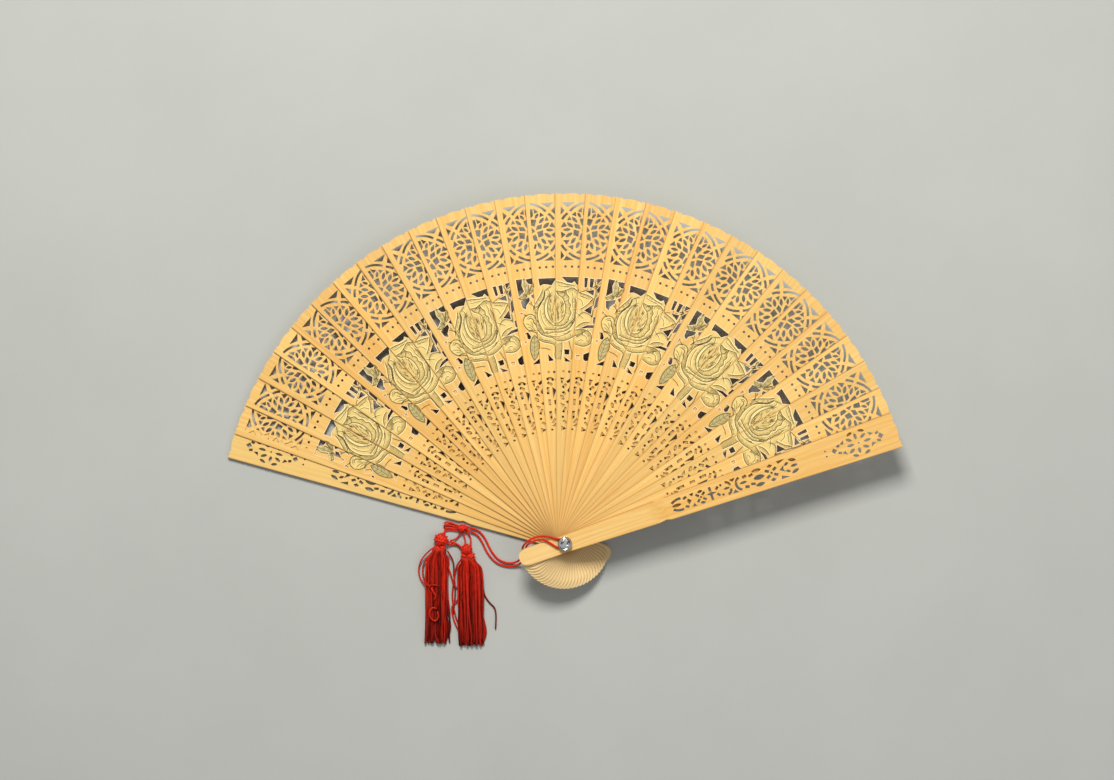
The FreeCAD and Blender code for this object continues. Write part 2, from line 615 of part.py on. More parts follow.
def build():
    parts = {
        "back_guard": turned(guard(0, -1), BACK_GUARD_ANGLE),
        "front_guard": turned(guard(FRONT_GUARD_Z, 1), BACK_GUARD_ANGLE - OPEN_ANGLE),
        "rivet_foot": rivet_foot(),
        "rivet_pin": Part.makeCylinder(PIN_RADIUS, SETTING_Z - FOOT_THICKNESS, Vec(0, 0, FOOT_THICKNESS)),
        "front_washer": ring(WASHER_RADIUS, HOLE_RADIUS, WASHER_Z, WASHER_THICKNESS),
        "jewel_setting": jewel_setting(),
        "jewel": jewel(),
        "cord_eye": cord_eye(),
        "cord_strand_a": cord_tube("cord_strand_a", STRAND_A),
        "cord_strand_b": cord_tube("cord_strand_b", STRAND_B),
        "bow_knot": pebble(*BOW, *BOW_HALF),
        "bow_loops": bow_loops(),
        "tassel_links": tassel_links(),
        "tassel_left_head": pebble(*LEFT_HEAD, *HEAD_HALF),
        "tassel_left_skirt": skirt(LEFT_HEAD, -72.6, -60.4, -52.5),
        "tassel_right_head": pebble(*RIGHT_HEAD, *HEAD_HALF),
        "tassel_right_skirt": skirt(RIGHT_HEAD, -55.6, -41.4, -54.0),
    }
    for index in range(1, INNER_STICKS + 1):
        kind = KINDS[(index - 1) % len(KINDS)]
        bottom = FIRST_STICK_Z + (index - 1) * STICK_PITCH
        parts["stick_%02d" % index] = turned(stick(kind, bottom), stick_angle(index))
    return parts


def main():
    os.makedirs("parts", exist_ok=True)
    for name, shape in build().items():
        if not shape.isValid():
            print("invalid solid:", name)
        shape.exportStep("parts/%s.step" % name)


main()
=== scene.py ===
import json
import math
import random

import bpy
import numpy as np
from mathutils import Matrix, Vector
from mathutils.bvhtree import BVHTree


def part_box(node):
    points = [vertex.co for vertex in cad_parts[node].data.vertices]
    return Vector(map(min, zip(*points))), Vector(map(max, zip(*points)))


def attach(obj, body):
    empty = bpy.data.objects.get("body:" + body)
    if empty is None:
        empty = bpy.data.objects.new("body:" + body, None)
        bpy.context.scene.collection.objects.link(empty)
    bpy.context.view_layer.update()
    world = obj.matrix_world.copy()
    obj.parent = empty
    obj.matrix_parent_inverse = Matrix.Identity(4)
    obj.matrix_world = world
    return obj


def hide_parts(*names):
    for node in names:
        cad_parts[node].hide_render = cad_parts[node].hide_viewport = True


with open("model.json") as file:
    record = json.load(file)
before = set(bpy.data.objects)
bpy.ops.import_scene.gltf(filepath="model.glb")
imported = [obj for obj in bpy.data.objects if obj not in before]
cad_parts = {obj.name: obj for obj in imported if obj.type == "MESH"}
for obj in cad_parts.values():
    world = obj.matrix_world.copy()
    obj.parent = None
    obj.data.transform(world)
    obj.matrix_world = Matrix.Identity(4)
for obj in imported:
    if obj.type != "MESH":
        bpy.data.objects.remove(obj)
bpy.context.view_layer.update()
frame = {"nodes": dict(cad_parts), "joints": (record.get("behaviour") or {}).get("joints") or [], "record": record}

# Drawings, outlines and routes below are in millimetres from the rivet, and builders turn
# them into metres. The floor, the lights and the camera are placed in metres.
MM = 0.001
NODES = frame["nodes"]
INNER_STICKS = sum(name.startswith("stick_") for name in NODES)
GUARD_MOUNT = next(m for m in frame["record"]["mounts"] if m["name"] == "guard_back")
BACK_ANGLE = math.degrees(math.atan2(GUARD_MOUNT["pos_m"][1], GUARD_MOUNT["pos_m"][0]))
OPEN_ANGLE = next(j for j in frame["joints"] if j["name"] == "front_guard_fold")["range_deg"][1]
SHARES = [c["ratio"] for c in frame["record"]["behaviour"]["couplings"]]

TIP_RADIUS = 180.0
STICK_HALF = (4.1, 8.75)        # half width at the rivet and at the tip
GUARD_HALF = (4.5, 9.3)
STICK_TAIL = (24.0, 0.44)       # length beyond the rivet, and how bluntly its end narrows
GUARD_TAIL = (24.6, 0.18)
TAIL_SHOULDER = 1.25            # length of that end, as a share of the half width
# The next stick's left edge, across this stick per millimetre along it. Past it the upper face
# of the neck is tinted darker. The tint stands in for shadow that these rigid sticks don't cast.
COVER_SLOPE = 0.0617

WOOD_NECK = (0.62, 0.345, 0.105)        # browner near the rivet
WOOD_TAIL = (0.88, 0.65, 0.31)          # paler tails
WOOD_COVERED = (0.22, 0.105, 0.02)
# Long edges: partly their own darker tone, partly painted shade where one stick lies on the next.
WOOD_EDGE_TONE_AND_SHADE = (0.30, 0.14, 0.035)
WOOD_CUT = (0.42, 0.22, 0.07)           # walls of the openings
SATIN_RED = ((0.76, 0.026, 0.007), (0.33, 0.010, 0.006))
THREAD_RED = ((0.66, 0.022, 0.008), (0.09, 0.003, 0.002))
SATIN_SHINE = (1.0, 0.62, 0.5, 1.0)
NICKEL = (0.50, 0.49, 0.46)
WHITE = (1.0, 1.0, 1.0, 1.0)


def stick_angle(index):
    """Direction of a stick of the open fan; 0 is the back guard, the last is the front guard."""
    return BACK_ANGLE - OPEN_ANGLE * ([0.0] + SHARES + [1.0])[index]


def coat(node, material):
    """Gives a part of the frame its only material."""
    NODES[node].data.materials.clear()
    NODES[node].data.materials.append(material)


# ---------------------------------------------------------------- materials

class Shader:
    """Thin helper round a material's node tree."""

    def __init__(self, name):
        self.material = bpy.data.materials.new(name)
        self.material.use_nodes = True
        self.tree = self.material.node_tree
        self.surface = self.tree.nodes["Principled BSDF"]
        coords = self.tree.nodes.new("ShaderNodeTexCoord")
        self.place = coords.outputs["Object"]
        self.normal = coords.outputs["Normal"]

    def node(self, kind, settings=None, **inputs):
        made = self.tree.nodes.new(kind)
        for key, value in (settings or {}).items():
            setattr(made, key, value)
        for key, value in inputs.items():
            self.feed(made.inputs[key.replace("_", " ")], value)
        return made

    def feed(self, socket, value):
        if hasattr(value, "is_output"):
            self.tree.links.new(value, socket)
        else:
            socket.default_value = value

    def math(self, operation, *values):
        made = self.node("ShaderNodeMath", {"operation": operation})
        for socket, value in zip(made.inputs, values):
            self.feed(socket, value)
        return made.outputs[0]

    def mix(self, factor, first, second):
        made = self.node("ShaderNodeMix", {"data_type": "RGBA"})
        self.feed(made.inputs[0], factor)
        self.feed(made.inputs[6], first)
        self.feed(made.inputs[7], second)
        return made.outputs[2]

    def spread(self, value, low, high, out_low=0.0, out_high=1.0):
        made = self.node("ShaderNodeMapRange", Value=value)
        for index, number in zip((1, 2, 3, 4), (low, high, out_low, out_high)):
            made.inputs[index].default_value = number
        return made.outputs[0]

    def noise(self, vector, scale, detail, roughness=0.55):
        return self.node("ShaderNodeTexNoise", Vector=vector, Scale=scale, Detail=detail,
                         Roughness=roughness).outputs[0]

    def moved(self, vector, operation, amounts):
        made = self.node("ShaderNodeVectorMath", {"operation": operation})
        self.feed(made.inputs[0], vector)
        made.inputs[1].default_value = amounts
        return made.outputs[0]

    def finish(self, colour, roughness, height=None, strength=0.0, distance=0.0, **settings):
        """Feeds the surface, with bumps of a height in metres, and hands the material over."""
        self.feed(self.surface.inputs["Base Color"], colour)
        self.feed(self.surface.inputs["Roughness"], roughness)
        for key, value in settings.items():
            self.surface.inputs[key.replace("_", " ")].default_value = value
        if height is not None:
            made = self.node("ShaderNodeBump", Height=height, Strength=strength,
                             Distance=distance)
            self.feed(self.surface.inputs["Normal"], made.outputs[0])
        return self.material


def rgba(colour, alpha=1.0):
    return (*colour, alpha)


def wood_material(name, angle, half, tone, warmth, seed, painted=False, topmost=False):
    """Sandalwood with its grain along the stick, and darker long edges and cut walls.
    The edges' darkness is partly their own tone, partly painted shade where the sticks overlap.
    The topmost stick is the front guard, whose neck is neither covered nor browner."""
    shader = Shader(name)
    local = shader.node("ShaderNodeMapping", Vector=shader.place, Scale=(1 / MM, 1 / MM, 1 / MM),
                        Rotation=(0, 0, math.radians(90 - angle))).outputs[0]
    grain_space = shader.moved(local, "ADD", (37.0 * seed, 211.0 * seed, 53.0 * seed))

    def grain(across, along, *detail):
        """Noise stretched along the stick; both are the changes per millimetre."""
        return shader.noise(shader.moved(grain_space, "MULTIPLY", (across, along, 1.0)), 1.0,
                            *detail)

    bend = grain(0.10, 0.012, 2.0)
    bands = grain(0.42, 0.011, 3.0)
    fibres = grain(3.4, 0.055, 5.0, 0.6)
    pores = grain(5.5, 0.32, 2.0, 0.5)
    parts = shader.node("ShaderNodeSeparateXYZ", Vector=grain_space)
    rings = shader.math("ADD", shader.math("MULTIPLY", parts.outputs[0], 2.3),
                        shader.math("MULTIPLY", bend, 26.0))
    rings = shader.math("MULTIPLY_ADD", shader.math("SINE", rings), 0.5, 0.5)

    light = [tone * c for c in (0.81, 0.495 - 0.05 * warmth, 0.138 - 0.035 * warmth)]
    dark = [tone * c for c in (0.60, 0.320 - 0.05 * warmth, 0.065 - 0.015 * warmth)]
    pale = [tone * c for c in (0.84, 0.55, 0.185)]
    colour = shader.mix(shader.spread(bands, 0.36, 0.66), rgba(light), rgba(pale))
    colour = shader.mix(shader.math("MULTIPLY", rings, 0.24), colour, rgba(dark))
    colour = shader.mix(shader.spread(fibres, 0.50, 0.74, 0.0, 0.50), colour, rgba(dark))
    colour = shader.mix(shader.spread(pores, 0.66, 0.78, 0.0, 0.40), colour,
                        rgba([0.5 * c for c in dark]))

    across = shader.node("ShaderNodeSeparateXYZ", Vector=local)
    along = across.outputs[1]
    slope = (half[1] - half[0]) / TIP_RADIUS
    side = shader.math("MULTIPLY_ADD", along, slope, half[0])
    side = shader.math("MAXIMUM", side, half[0])
    length, bluntness = STICK_TAIL if half is STICK_HALF else GUARD_TAIL
    end = shader.spread(along, -length, TAIL_SHOULDER * half[0] - length)
    side = shader.math("MULTIPLY", side, shader.math("POWER", end, bluntness))
    margin = shader.math("SUBTRACT", side, shader.math("ABSOLUTE", across.outputs[0]))
    facing = shader.node("ShaderNodeSeparateXYZ", Vector=shader.normal)
    covered = shader.math("SUBTRACT", across.outputs[0],
                          shader.math("MULTIPLY_ADD", along, COVER_SLOPE, -half[0]))
    covered = shader.math("MULTIPLY", shader.spread(covered, 0.1, 0.9, 0.0, 0.42),
                          shader.spread(along, 84.0, 93.0, 1.0, 0.0))
    covered = shader.math("MULTIPLY", covered, shader.spread(facing.outputs[2], 0.4, 0.8))
    if not topmost:
        colour = shader.mix(covered, colour, rgba(WOOD_COVERED))
    if painted:
        paint = shader.node("ShaderNodeAttribute", {"attribute_name": "paint"})
        strength = shader.math("MULTIPLY", paint.outputs["Alpha"],
                               shader.spread(fibres, 0.30, 0.75, 1.0, 0.80))
        colour = shader.mix(strength, colour, paint.outputs["Color"])
    neck = shader.spread(along, 18.0, 66.0, 0.0 if topmost else 0.34, 0.0)
    colour = shader.mix(neck, colour, rgba(WOOD_NECK))
    tail = shader.spread(along, -9.0, -3.0, 0.3 if topmost else 0.85, 0.0)
    colour = shader.mix(tail, colour, rgba(WOOD_TAIL))
    # Darker long edges, more so towards the tips: their own tone and painted shade where sticks overlap.
    edge = shader.math("MULTIPLY", shader.spread(margin, 0.05, 0.45, 1.0, 0.0),
                       shader.spread(along, 60.0, 120.0, 0.55, 0.85))
    colour = shader.mix(edge, colour, rgba(WOOD_EDGE_TONE_AND_SHADE))
    wall = shader.math("SUBTRACT", 1.0, shader.math("ABSOLUTE", facing.outputs[2]))
    colour = shader.mix(shader.spread(wall, 0.4, 0.8, 0.0, 0.55), colour, rgba(WOOD_CUT))
    relief = shader.math("ADD", fibres, shader.math("MULTIPLY", pores, 0.6))
    return shader.finish(colour, shader.spread(fibres, 0.3, 0.8, 0.40, 0.60), relief, 0.28,
                         0.00006, Specular_IOR_Level=0.38)


def satin_material(name, bright, deep, stripe, gloss):
    """Shiny thread: fine slanting filaments, colour drift, reddish shine."""
    shader = Shader(name)
    tint = shader.node("ShaderNodeAttribute", {"attribute_name": "shade"})
    drift = shader.noise(shader.place, 420.0, 3.0)
    twist = shader.node("ShaderNodeTexWave", {"wave_type": "BANDS", "bands_direction": "DIAGONAL"},
                        Vector=shader.place, Scale=stripe, Distortion=2.2, Detail=2.0)
    colour = shader.mix(tint.outputs["Fac"], rgba(deep), rgba(bright))
    colour = shader.mix(shader.spread(drift, 0.35, 0.7, 0.0, 0.35), colour, rgba(deep))
    return shader.finish(colour, shader.spread(drift, 0.3, 0.7, 0.30, 0.46), twist.outputs[1],
                         0.35, 0.00010, Specular_IOR_Level=gloss, Specular_Tint=SATIN_SHINE)


def metal_material(name, colour, roughness):
    """Polished plated metal with faint turning marks and smudges."""
    shader = Shader(name)
    smudge = shader.noise(shader.place, 900.0, 4.0)
    fine = shader.noise(shader.place, 6000.0, 2.0)
    smudged = shader.mix(shader.spread(smudge, 0.4, 0.7, 0.0, 0.5), rgba(colour),
                         rgba([0.72 * c for c in colour]))
    return shader.finish(smudged, shader.spread(smudge, 0.3, 0.7, roughness, roughness + 0.16),
                         fine, 0.15, 0.00002, Metallic=1.0)


def jewel_material():
    """Cut stone whose colour holds painted reflections: bright facets, and dark flashes with a violet cast."""
    shader = Shader("jewel_stone")
    # Bright and dark patches in the colour: painted reflections.
    flash = shader.noise(shader.place, 420.0, 1.0)
    colour = shader.mix(shader.spread(flash, 0.54, 0.60), rgba((0.96, 0.96, 0.98)),
                        rgba((0.20, 0.185, 0.23)))
    return shader.finish(colour, shader.spread(flash, 0.3, 0.7, 0.03, 0.10), Metallic=0.85,
                         Coat_Weight=1.0, Coat_Roughness=0.02)


def ribbon_material():
    """Thin silk: a fine plain weave across both directions."""
    shader = Shader("ribbon_silk")
    weave = shader.node("ShaderNodeTexChecker", Vector=shader.place, Scale=5200.0)
    cloud = shader.noise(shader.place, 160.0, 3.0)
    colour = shader.mix(cloud, rgba((0.80, 0.66, 0.42)), rgba((0.68, 0.52, 0.30)))
    return shader.finish(colour, shader.spread(cloud, 0.3, 0.7, 0.45, 0.6), weave.outputs[1],
                         0.3, 0.00004)


def floor_material():
    """Plain pale board with a fine nap."""
    shader = Shader("pale_board")
    cloud = shader.noise(shader.place, 9.0, 5.0, 0.6)
    nap = shader.noise(shader.place, 900.0, 2.0)
    colour = shader.mix(shader.spread(cloud, 0.35, 0.65), rgba((0.42, 0.43, 0.40)),
                        rgba((0.44, 0.45, 0.42)))
    return shader.finish(colour, shader.spread(nap, 0.3, 0.7, 0.85, 0.97), nap, 0.2, 0.0002)


# ---------------------------------------------------------------- mesh helpers

TUBE_SIDES = 6


class Builder:
    """Collects vertices, faces and a colour per vertex, then makes one mesh object."""

    def __init__(self):
        self.points = []
        self.faces = []
        self.colours = []

    def add(self, points, faces, colour):
        base = len(self.points)
        self.points.extend(points)
        self.faces.extend([tuple(base + i for i in face) for face in faces])
        self.colours.extend([colour] * len(points) if isinstance(colour, tuple) else colour)

    def build(self, name, attribute, material, smooth=False):
        mesh = bpy.data.meshes.new(name)
        mesh.from_pydata([tuple(c * MM for c in p) for p in self.points], [], self.faces)
        layer = mesh.color_attributes.new(attribute, "FLOAT_COLOR", "POINT")
        layer.data.foreach_set("color", np.array(self.colours, np.float32).ravel())
        mesh.materials.append(material)
        if smooth:
            mesh.shade_smooth()
        made = bpy.data.objects.new(name, mesh)
        bpy.context.scene.collection.objects.link(made)
        return made


def smooth_curve(points, step):
    """Catmull-Rom curve through given points, sampled about every step."""
    given = np.array(points, float)
    padded = np.vstack([2 * given[0] - given[1], given, 2 * given[-1] - given[-2]])
    out = []
    for p0, p1, p2, p3 in zip(padded, padded[1:], padded[2:], padded[3:]):
        count = max(1, int(np.linalg.norm(p2 - p1) / step))
        for t in np.arange(count) / count:
            out.append(0.5 * (2 * p1 + (p2 - p0) * t + (2 * p0 - 5 * p1 + 4 * p2 - p3) * t * t
                              + (3 * p1 - p0 - 3 * p2 + p3) * t ** 3))
    out.append(given[-1])
    return np.array(out)


def tube(builder, path, radius, colour, closed=False):
    """Round tube along a sampled path."""
    path = np.array(path, float)
    count = len(path)
    sides = TUBE_SIDES
    ahead = np.roll(path, -1, 0) - np.roll(path, 1, 0)
    if not closed:
        ahead[0] = path[1] - path[0]
        ahead[-1] = path[-1] - path[-2]
    ahead /= np.linalg.norm(ahead, axis=1)[:, None] + 1e-12
    normal = np.cross(ahead[0], (0.3, 0.2, 1.0))
    normal /= np.linalg.norm(normal)
    rings = []
    for i in range(count):
        normal = normal - ahead[i] * normal.dot(ahead[i])
        normal /= np.linalg.norm(normal)
        other = np.cross(ahead[i], normal)
        turn = np.arange(sides) * 2 * math.pi / sides
        rings.append(path[i] + radius * (np.outer(np.cos(turn), normal)
                                         + np.outer(np.sin(turn), other)))
    points = [tuple(p) for ring in rings for p in ring]
    faces = []
    for i in range(count if closed else count - 1):
        a = i * sides
        b = ((i + 1) % count) * sides
        faces += [(a + k, a + (k + 1) % sides, b + (k + 1) % sides, b + k) for k in range(sides)]
    if not closed:
        faces.append(tuple(reversed(range(sides))))
        faces.append(tuple(range((count - 1) * sides, count * sides)))
    builder.add(points, faces, colour)


def inside(points, outline):
    """Even-odd test of many points against one outline."""
    x, y = points[:, 0], points[:, 1]
    result = np.zeros(len(points), bool)
    corners = np.array(outline)
    for (x1, y1), (x2, y2) in zip(corners, np.roll(corners, -1, 0)):
        crosses = (y1 > y) != (y2 > y)
        reach = (x2 - x1) * (y - y1) / (y2 - y1 + 1e-12) + x1
        result ^= crosses & (x < reach)
    return result


# ---------------------------------------------------------------- the drawing
# Curves in a chart of one rose: u runs to the right along the arc, v runs outward from the
# rose's heart. A rose is shared by four neighbouring sticks.

HEART_RADIUS = 117.0
ROSE_LINES = [
    [(-1.5, 18.5), (-3, 16.2), (-4.8, 14.6), (-7, 13.2)],
    [(-1.3, 17.6), (1.1, 17.2), (3.8, 16.3), (6.5, 15.8), (8.4, 15.7)],
    [(6.8, 16.9), (8.4, 18.3), (9.6, 16.2), (10.3, 13.9), (10.5, 12)],
    [(-1.1, 12.9), (1.5, 12.5), (4.3, 13.2), (7, 14.3), (8.8, 13.7), (10.5, 12)],
    [(10.5, 12), (12.9, 12.9), (15.6, 13.9)],
    [(10.5, 12), (13.4, 11.4), (16.1, 10.6), (18.1, 9.5)],
    [(18.1, 9.5), (16.6, 8.2), (15.6, 6.9), (13.4, 5), (11.1, 3.5)],
    [(-8, 14.1), (-9.1, 11.6), (-11.1, 8.5), (-12.8, 5.7), (-13.4, 3.5)],
    [(-12.9, 5.2), (-11.1, 5.5), (-9.4, 7.3), (-7.8, 9.8), (-7.1, 13.2)],
    [(-7, 13.2), (-7.2, 10), (-8.7, 7.5), (-10.3, 5), (-11.1, 2.1), (-10.8, -1.8), (-9.4, -5.4),
     (-7.8, -8.4)],
    [(-3.5, 11.9), (-5.8, 9.8), (-7, 7.1), (-7.5, 3.5), (-6.9, -0.2), (-5, -3.1), (-2.8, -5.2)],
    [(-3.4, 11.1), (-4.9, 8.9), (-5.7, 6.2), (-5.8, 2.5), (-4.8, -1.1), (-3, -3.4)],
    [(-1.1, 12.8), (0, 10.7), (1.8, 9.4), (3, 7.3), (3.5, 4.4), (3.1, 1.2), (1.9, -1.8),
     (-0.3, -3.6), (-2.5, -3.8)],
    [(0.9, 11.6), (2.2, 12.1), (3.4, 11.5), (3, 10.3), (1.9, 9.4)],
    [(3.8, 13.4), (4.2, 11.1), (5.4, 9.4), (5, 7.3), (6.1, 5.5), (5.5, 3.5), (6.2, 1.4),
     (5, -1.1), (4.3, -3.1), (2, -4.8), (-0.7, -5.3), (-2.8, -4.8)],
    [(8.4, 9.8), (8.8, 6.6), (8.4, 3.5), (8.6, 0.3), (7, -2.5), (5.2, -4.3), (3.1, -6.1),
     (-0.3, -6.9), (-3.9, -7.1), (-7.8, -6.5)],
    [(-7.8, -8.4), (-5.3, -8.8), (-3, -8.4), (0.6, -8.4), (4.3, -7.2), (6.5, -4.7), (8.3, -1.8)],
    [(-13.2, -2.5), (-11.9, -4.3), (-11.1, -6.5), (-9.4, -8.8), (-6.6, -10.4), (-3.9, -11.1),
     (-2.5, -12.1)],
    [(-11.9, -8.4), (-10.8, -11.3), (-8, -13.1), (-4.8, -14), (-2.5, -15)],
    [(-2.5, -12.1), (-0.3, -13), (2.9, -12.7), (6.1, -11.3), (7.4, -10.4), (9.7, -9.7),
     (12, -8.4), (13.4, -7.4)],
    [(7.9, -7.4), (10.6, -6.9), (13.8, -7.1), (15.9, -8.4), (16.4, -10.6), (16, -13.1),
     (13.4, -15.1), (10.6, -15.3), (7.5, -14.4)],
    [(8.8, -5.9), (10.4, -4.3), (12.9, -3.1), (15.6, -2.8)],
    [(17, 0.3), (15.6, 1.2), (13.4, 2), (11.5, 1.4), (10, -0.2)],
    [(-10, -15.9), (-7.1, -16.5), (-4.8, -17.5)],
    [(-2.5, -15), (-2.5, -17.9), (-2.7, -20.6), (-2.2, -22.7)],
    [(1.1, -13.4), (1.1, -16.5), (0.7, -19.7), (0.3, -22.7)],
    [(4.7, -12.9), (5.4, -16.1), (6.1, -19.3), (5.7, -22.5)],
]
# Finer lines of the petals' inner folds.
FOLD_LINES = [
    [(9.3, 9.6), (11.7, 8.1), (12.6, 5.4)],
    [(10.9, 10.4), (13.0, 9.9), (15.2, 9.0)],
    [(7.8, 1.8), (10.5, 0.6), (12.6, -1.2)],
    [(8.7, -11.1), (11.1, -9.6), (13.5, -10.2), (14.3, -12.3)],
    [(9.3, -12.9), (11.0, -12.1), (12.2, -12.6)],
    [(-5.5, -10.0), (-2.5, -10.7), (0.8, -10.4), (3.6, -9.4), (5.6, -8.0)],
    [(1.6, -9.5), (4.4, -8.7), (6.6, -7.2)],
    [(-0.4, 15.8), (1.6, 15.2), (4.2, 15.0), (6.4, 14.7)],
    [(-5.6, 14.2), (-4.8, 12.9), (-4.4, 11.2)],
    [(-9.4, 3.6), (-9.2, 0.2), (-8.2, -3.0), (-6.6, -5.2)],
    [(-11.6, 3.8), (-10.2, 5.6), (-9.0, 7.6)],
    [(-9.6, -11.2), (-7.4, -12.3), (-4.6, -12.9)],
    [(7.2, 12.2), (7.5, 9.6), (7.0, 7.4), (7.3, 4.6)],
    [(13.2, -5.0), (14.4, -5.9), (14.6, -7.2)],
    [(5.4, -5.9), (6.9, -4.1), (7.9, -1.4), (8.0, 1.2)],
]
BUD_LINES = [
    [(-18.9, -2.4), (-17.2, -3.1), (-15.6, -4.4), (-14.2, -6.2)],
    [(-16.4, -1.6), (-15.6, -2.9), (-15.0, -4.6)],
    [(-18.4, -0.4), (-17.0, 0.8), (-15.6, 0.6)],
    [(-17.9, -4.2), (-16.4, -4.9), (-15.2, -5.9)],
]
# Petal lines that are shaded: which line, the shaded side, and how far the shading reaches.
SHADED_LINES = (
    (9, -1, 2.2), (10, -1, 1.5), (11, 1, 1.0), (12, 1, 1.2), (14, -1, 1.6), (15, -1, 1.9),
    (16, 1, 1.7), (17, 1, 2.2), (18, 1, 2.0), (19, 1, 2.2), (20, -1, 2.4), (21, -1, 1.8),
    (3, -1, 2.2), (5, -1, 2.4), (1, -1, 1.6), (7, 1, 1.7), (8, -1, 1.5), (6, 1, 1.8),
    (24, 1, 1.6), (25, -1, 1.6))
LEAF_LINES = [
    [(-20.2, -1.5), (-19.4, 1), (-17.1, 2), (-14.8, 1.3), (-13.5, -0.6), (-12.2, -2.7)],
    [(-20.2, -1.5), (-18.9, -4.3), (-17.1, -6.1), (-14.8, -7.1), (-12.3, -8.6)],
    [(-17.5, -0.6), (-16.2, 0), (-14.9, -1.1), (-14.4, -3.4)],
    [(-18.5, 7.1), (-16.6, 7.5), (-14.9, 6.1), (-13.7, 3.9), (-13.2, 1.6)],
    [(-21.4, 3), (-19.6, 2.3), (-18, 1.2)],
    [(-17.5, -6.8), (-15.7, -6.2), (-13.4, -6.8)],
    [(-14.3, -8.8), (-16.1, -11.5), (-16.6, -15.6), (-15.7, -19.5), (-14.4, -21.8)],
    [(-14.3, -8.8), (-12.2, -12), (-11.8, -15.6), (-12.7, -19.3), (-14.4, -21.8)],
    [(-19.6, 20.7), (-20.7, 18), (-20.2, 14.8), (-18.2, 11.6)],
    [(-19.6, 20.7), (-17.6, 18), (-17.1, 14.6), (-18.2, 11.6)],
    [(-14.7, 18), (-16.1, 15.5), (-17.1, 12.3)],
    [(-14.7, 18), (-14.4, 15.5), (-15.5, 13.2), (-17.1, 12.1)],
    [(-22.6, 12.2), (-20.5, 12.9), (-17.8, 11.1)],
    [(-22.6, 11.5), (-20.3, 10), (-17.8, 11.1)],
    [(-17.9, 11.1), (-16.6, 9.4), (-15.4, 7.3)],
]
SPIKY_LINES = [
    [(15.1, 12.5), (17.9, 14.7), (20.6, 16.6), (22.7, 17.9)],
    [(15.5, 11.6), (18.3, 13.9), (20.9, 15.7), (22.8, 17)],
    [(19.4, 19.8), (20.1, 16.2), (20, 12.5), (18.7, 8), (17.6, 3.5), (17, -0.3)],
    [(20.2, 19.6), (20.7, 16.2), (20.6, 12.3), (19.3, 7.5), (18.1, 3), (17.5, -0.4)],
    [(16.2, 19.9), (15.7, 17.1), (15.5, 14.1)],
]
ROSE_OUTLINE = [
    (-13.4, 3.5), (-12.9, 5.5), (-11.1, 8.5), (-9.1, 11.6), (-8, 14.1), (-7.3, 16.2), (-4.8, 15.7),
    (-3, 16.2), (-1.5, 18.5), (1.1, 17.6), (6.8, 16.9), (8.4, 18.3), (9.6, 16.2), (10.5, 12),
    (16.1, 11), (18.1, 9.5), (15.9, 6.9), (12.9, 3.5), (17, 0.3), (15.6, -3.1), (12.5, -4.5),
    (16.4, -8.4), (16, -13.1), (13.4, -15.1), (7.5, -14.4), (2.5, -13.4), (-2.5, -15),
    (-8, -13.4), (-11.9, -8.4), (-13.2, -2.5)]
# Outlines made of lines above: down one side and back up the other.
CORE_OUTLINE = ROSE_LINES[11] + ROSE_LINES[12][-2:0:-1]
STEM_OUTLINE = ROSE_LINES[24] + ROSE_LINES[25][::-1]
BUD_OUTLINE = LEAF_LINES[0] + LEAF_LINES[1][:0:-1]
LOW_LEAF, UP_LEAF, SIDE_LEAF = (
    LEAF_LINES[number][:-1] + LEAF_LINES[number + 1][:0:-1] for number in (6, 8, 10))
FLAT_LEAF = [(-22.6, 11.9), (-20.5, 12.9), (-17.8, 11.1), (-20.3, 10)]
# Where each chart sits: the stick of the group it is tied to, and how far round its zero lies.
ROSE_TIE = (2, 2.59)
LEAF_TIE = (0, -8.18)
SPIKY_TIE = (3, 7.87)

INK = (0.150, 0.108, 0.028)
INK_GREEN = (0.100, 0.102, 0.036)
# Pale strokes beside the dark lines are painted highlights, for an embossed look.
PETAL_HIGHLIGHT = (0.92, 0.76, 0.34)
PETAL_LIGHT = (0.80, 0.625, 0.225)
PETAL_SHADE = (0.38, 0.30, 0.09)
CORE_TINT = (0.52, 0.40, 0.14)
LEAF_LIGHT = (0.42, 0.42, 0.19)
LEAF_SHADE = (0.22, 0.23, 0.09)
# Pale rims round the openings: a painted highlight along their cut edges.
RIM_HIGHLIGHT = (0.90, 0.76, 0.52)
ROSE_WIDTH = 0.44
LEAF_WIDTH = 0.50
FOLD_WIDTH = 0.32
CORE_WIDTH = 0.28
VEIN_WIDTH = 0.22
HATCH_WIDTH = 0.20
PETAL_EDGE_HIGHLIGHT = (0.52, 0.46)  # distance of a painted highlight stroke from its dark line, and its width
FOLD_HIGHLIGHT = (0.42, 0.36)
CORE_STROKES = 60
HATCH_STEP = 0.62
LINE_STEP = 0.3
SKIN_STEP = 0.5
BAND_LOW = 92.0
BAND_HIGH = 138.5
STROKES_FROM = BAND_LOW - 4
SHORTEST_STROKE = 4             # points; shorter remains between two openings are left out
FILM = 0.02                     # the paint's height above the wood, and each layer's thickness
HIGHLIGHT_HEIGHT = 2.1 * FILM        # undersides of the strokes and of the rims above the wood
INK_HEIGHT = 2.6 * FILM
RIM_HEIGHT = 1.6 * FILM
RIM_REACH = (0.03, 0.32)        # a rim's edges, measured from the opening
INK_MARGIN = 0.25               # strokes keep this clear of the long edges ...
SKIN_MARGIN = 0.12              # ... and the petals' film this
AROUND = ((0.3, 0), (-0.3, 0), (0, 0.3), (0, -0.3))     # no stroke comes nearer to an opening
LARGEST_OPENING = 20            # across; longer loops are the stick's own outline
MOST_CORNERS = 60
LEVEL = 0.00002                 # faces this near the top face's height belong to it, in metres


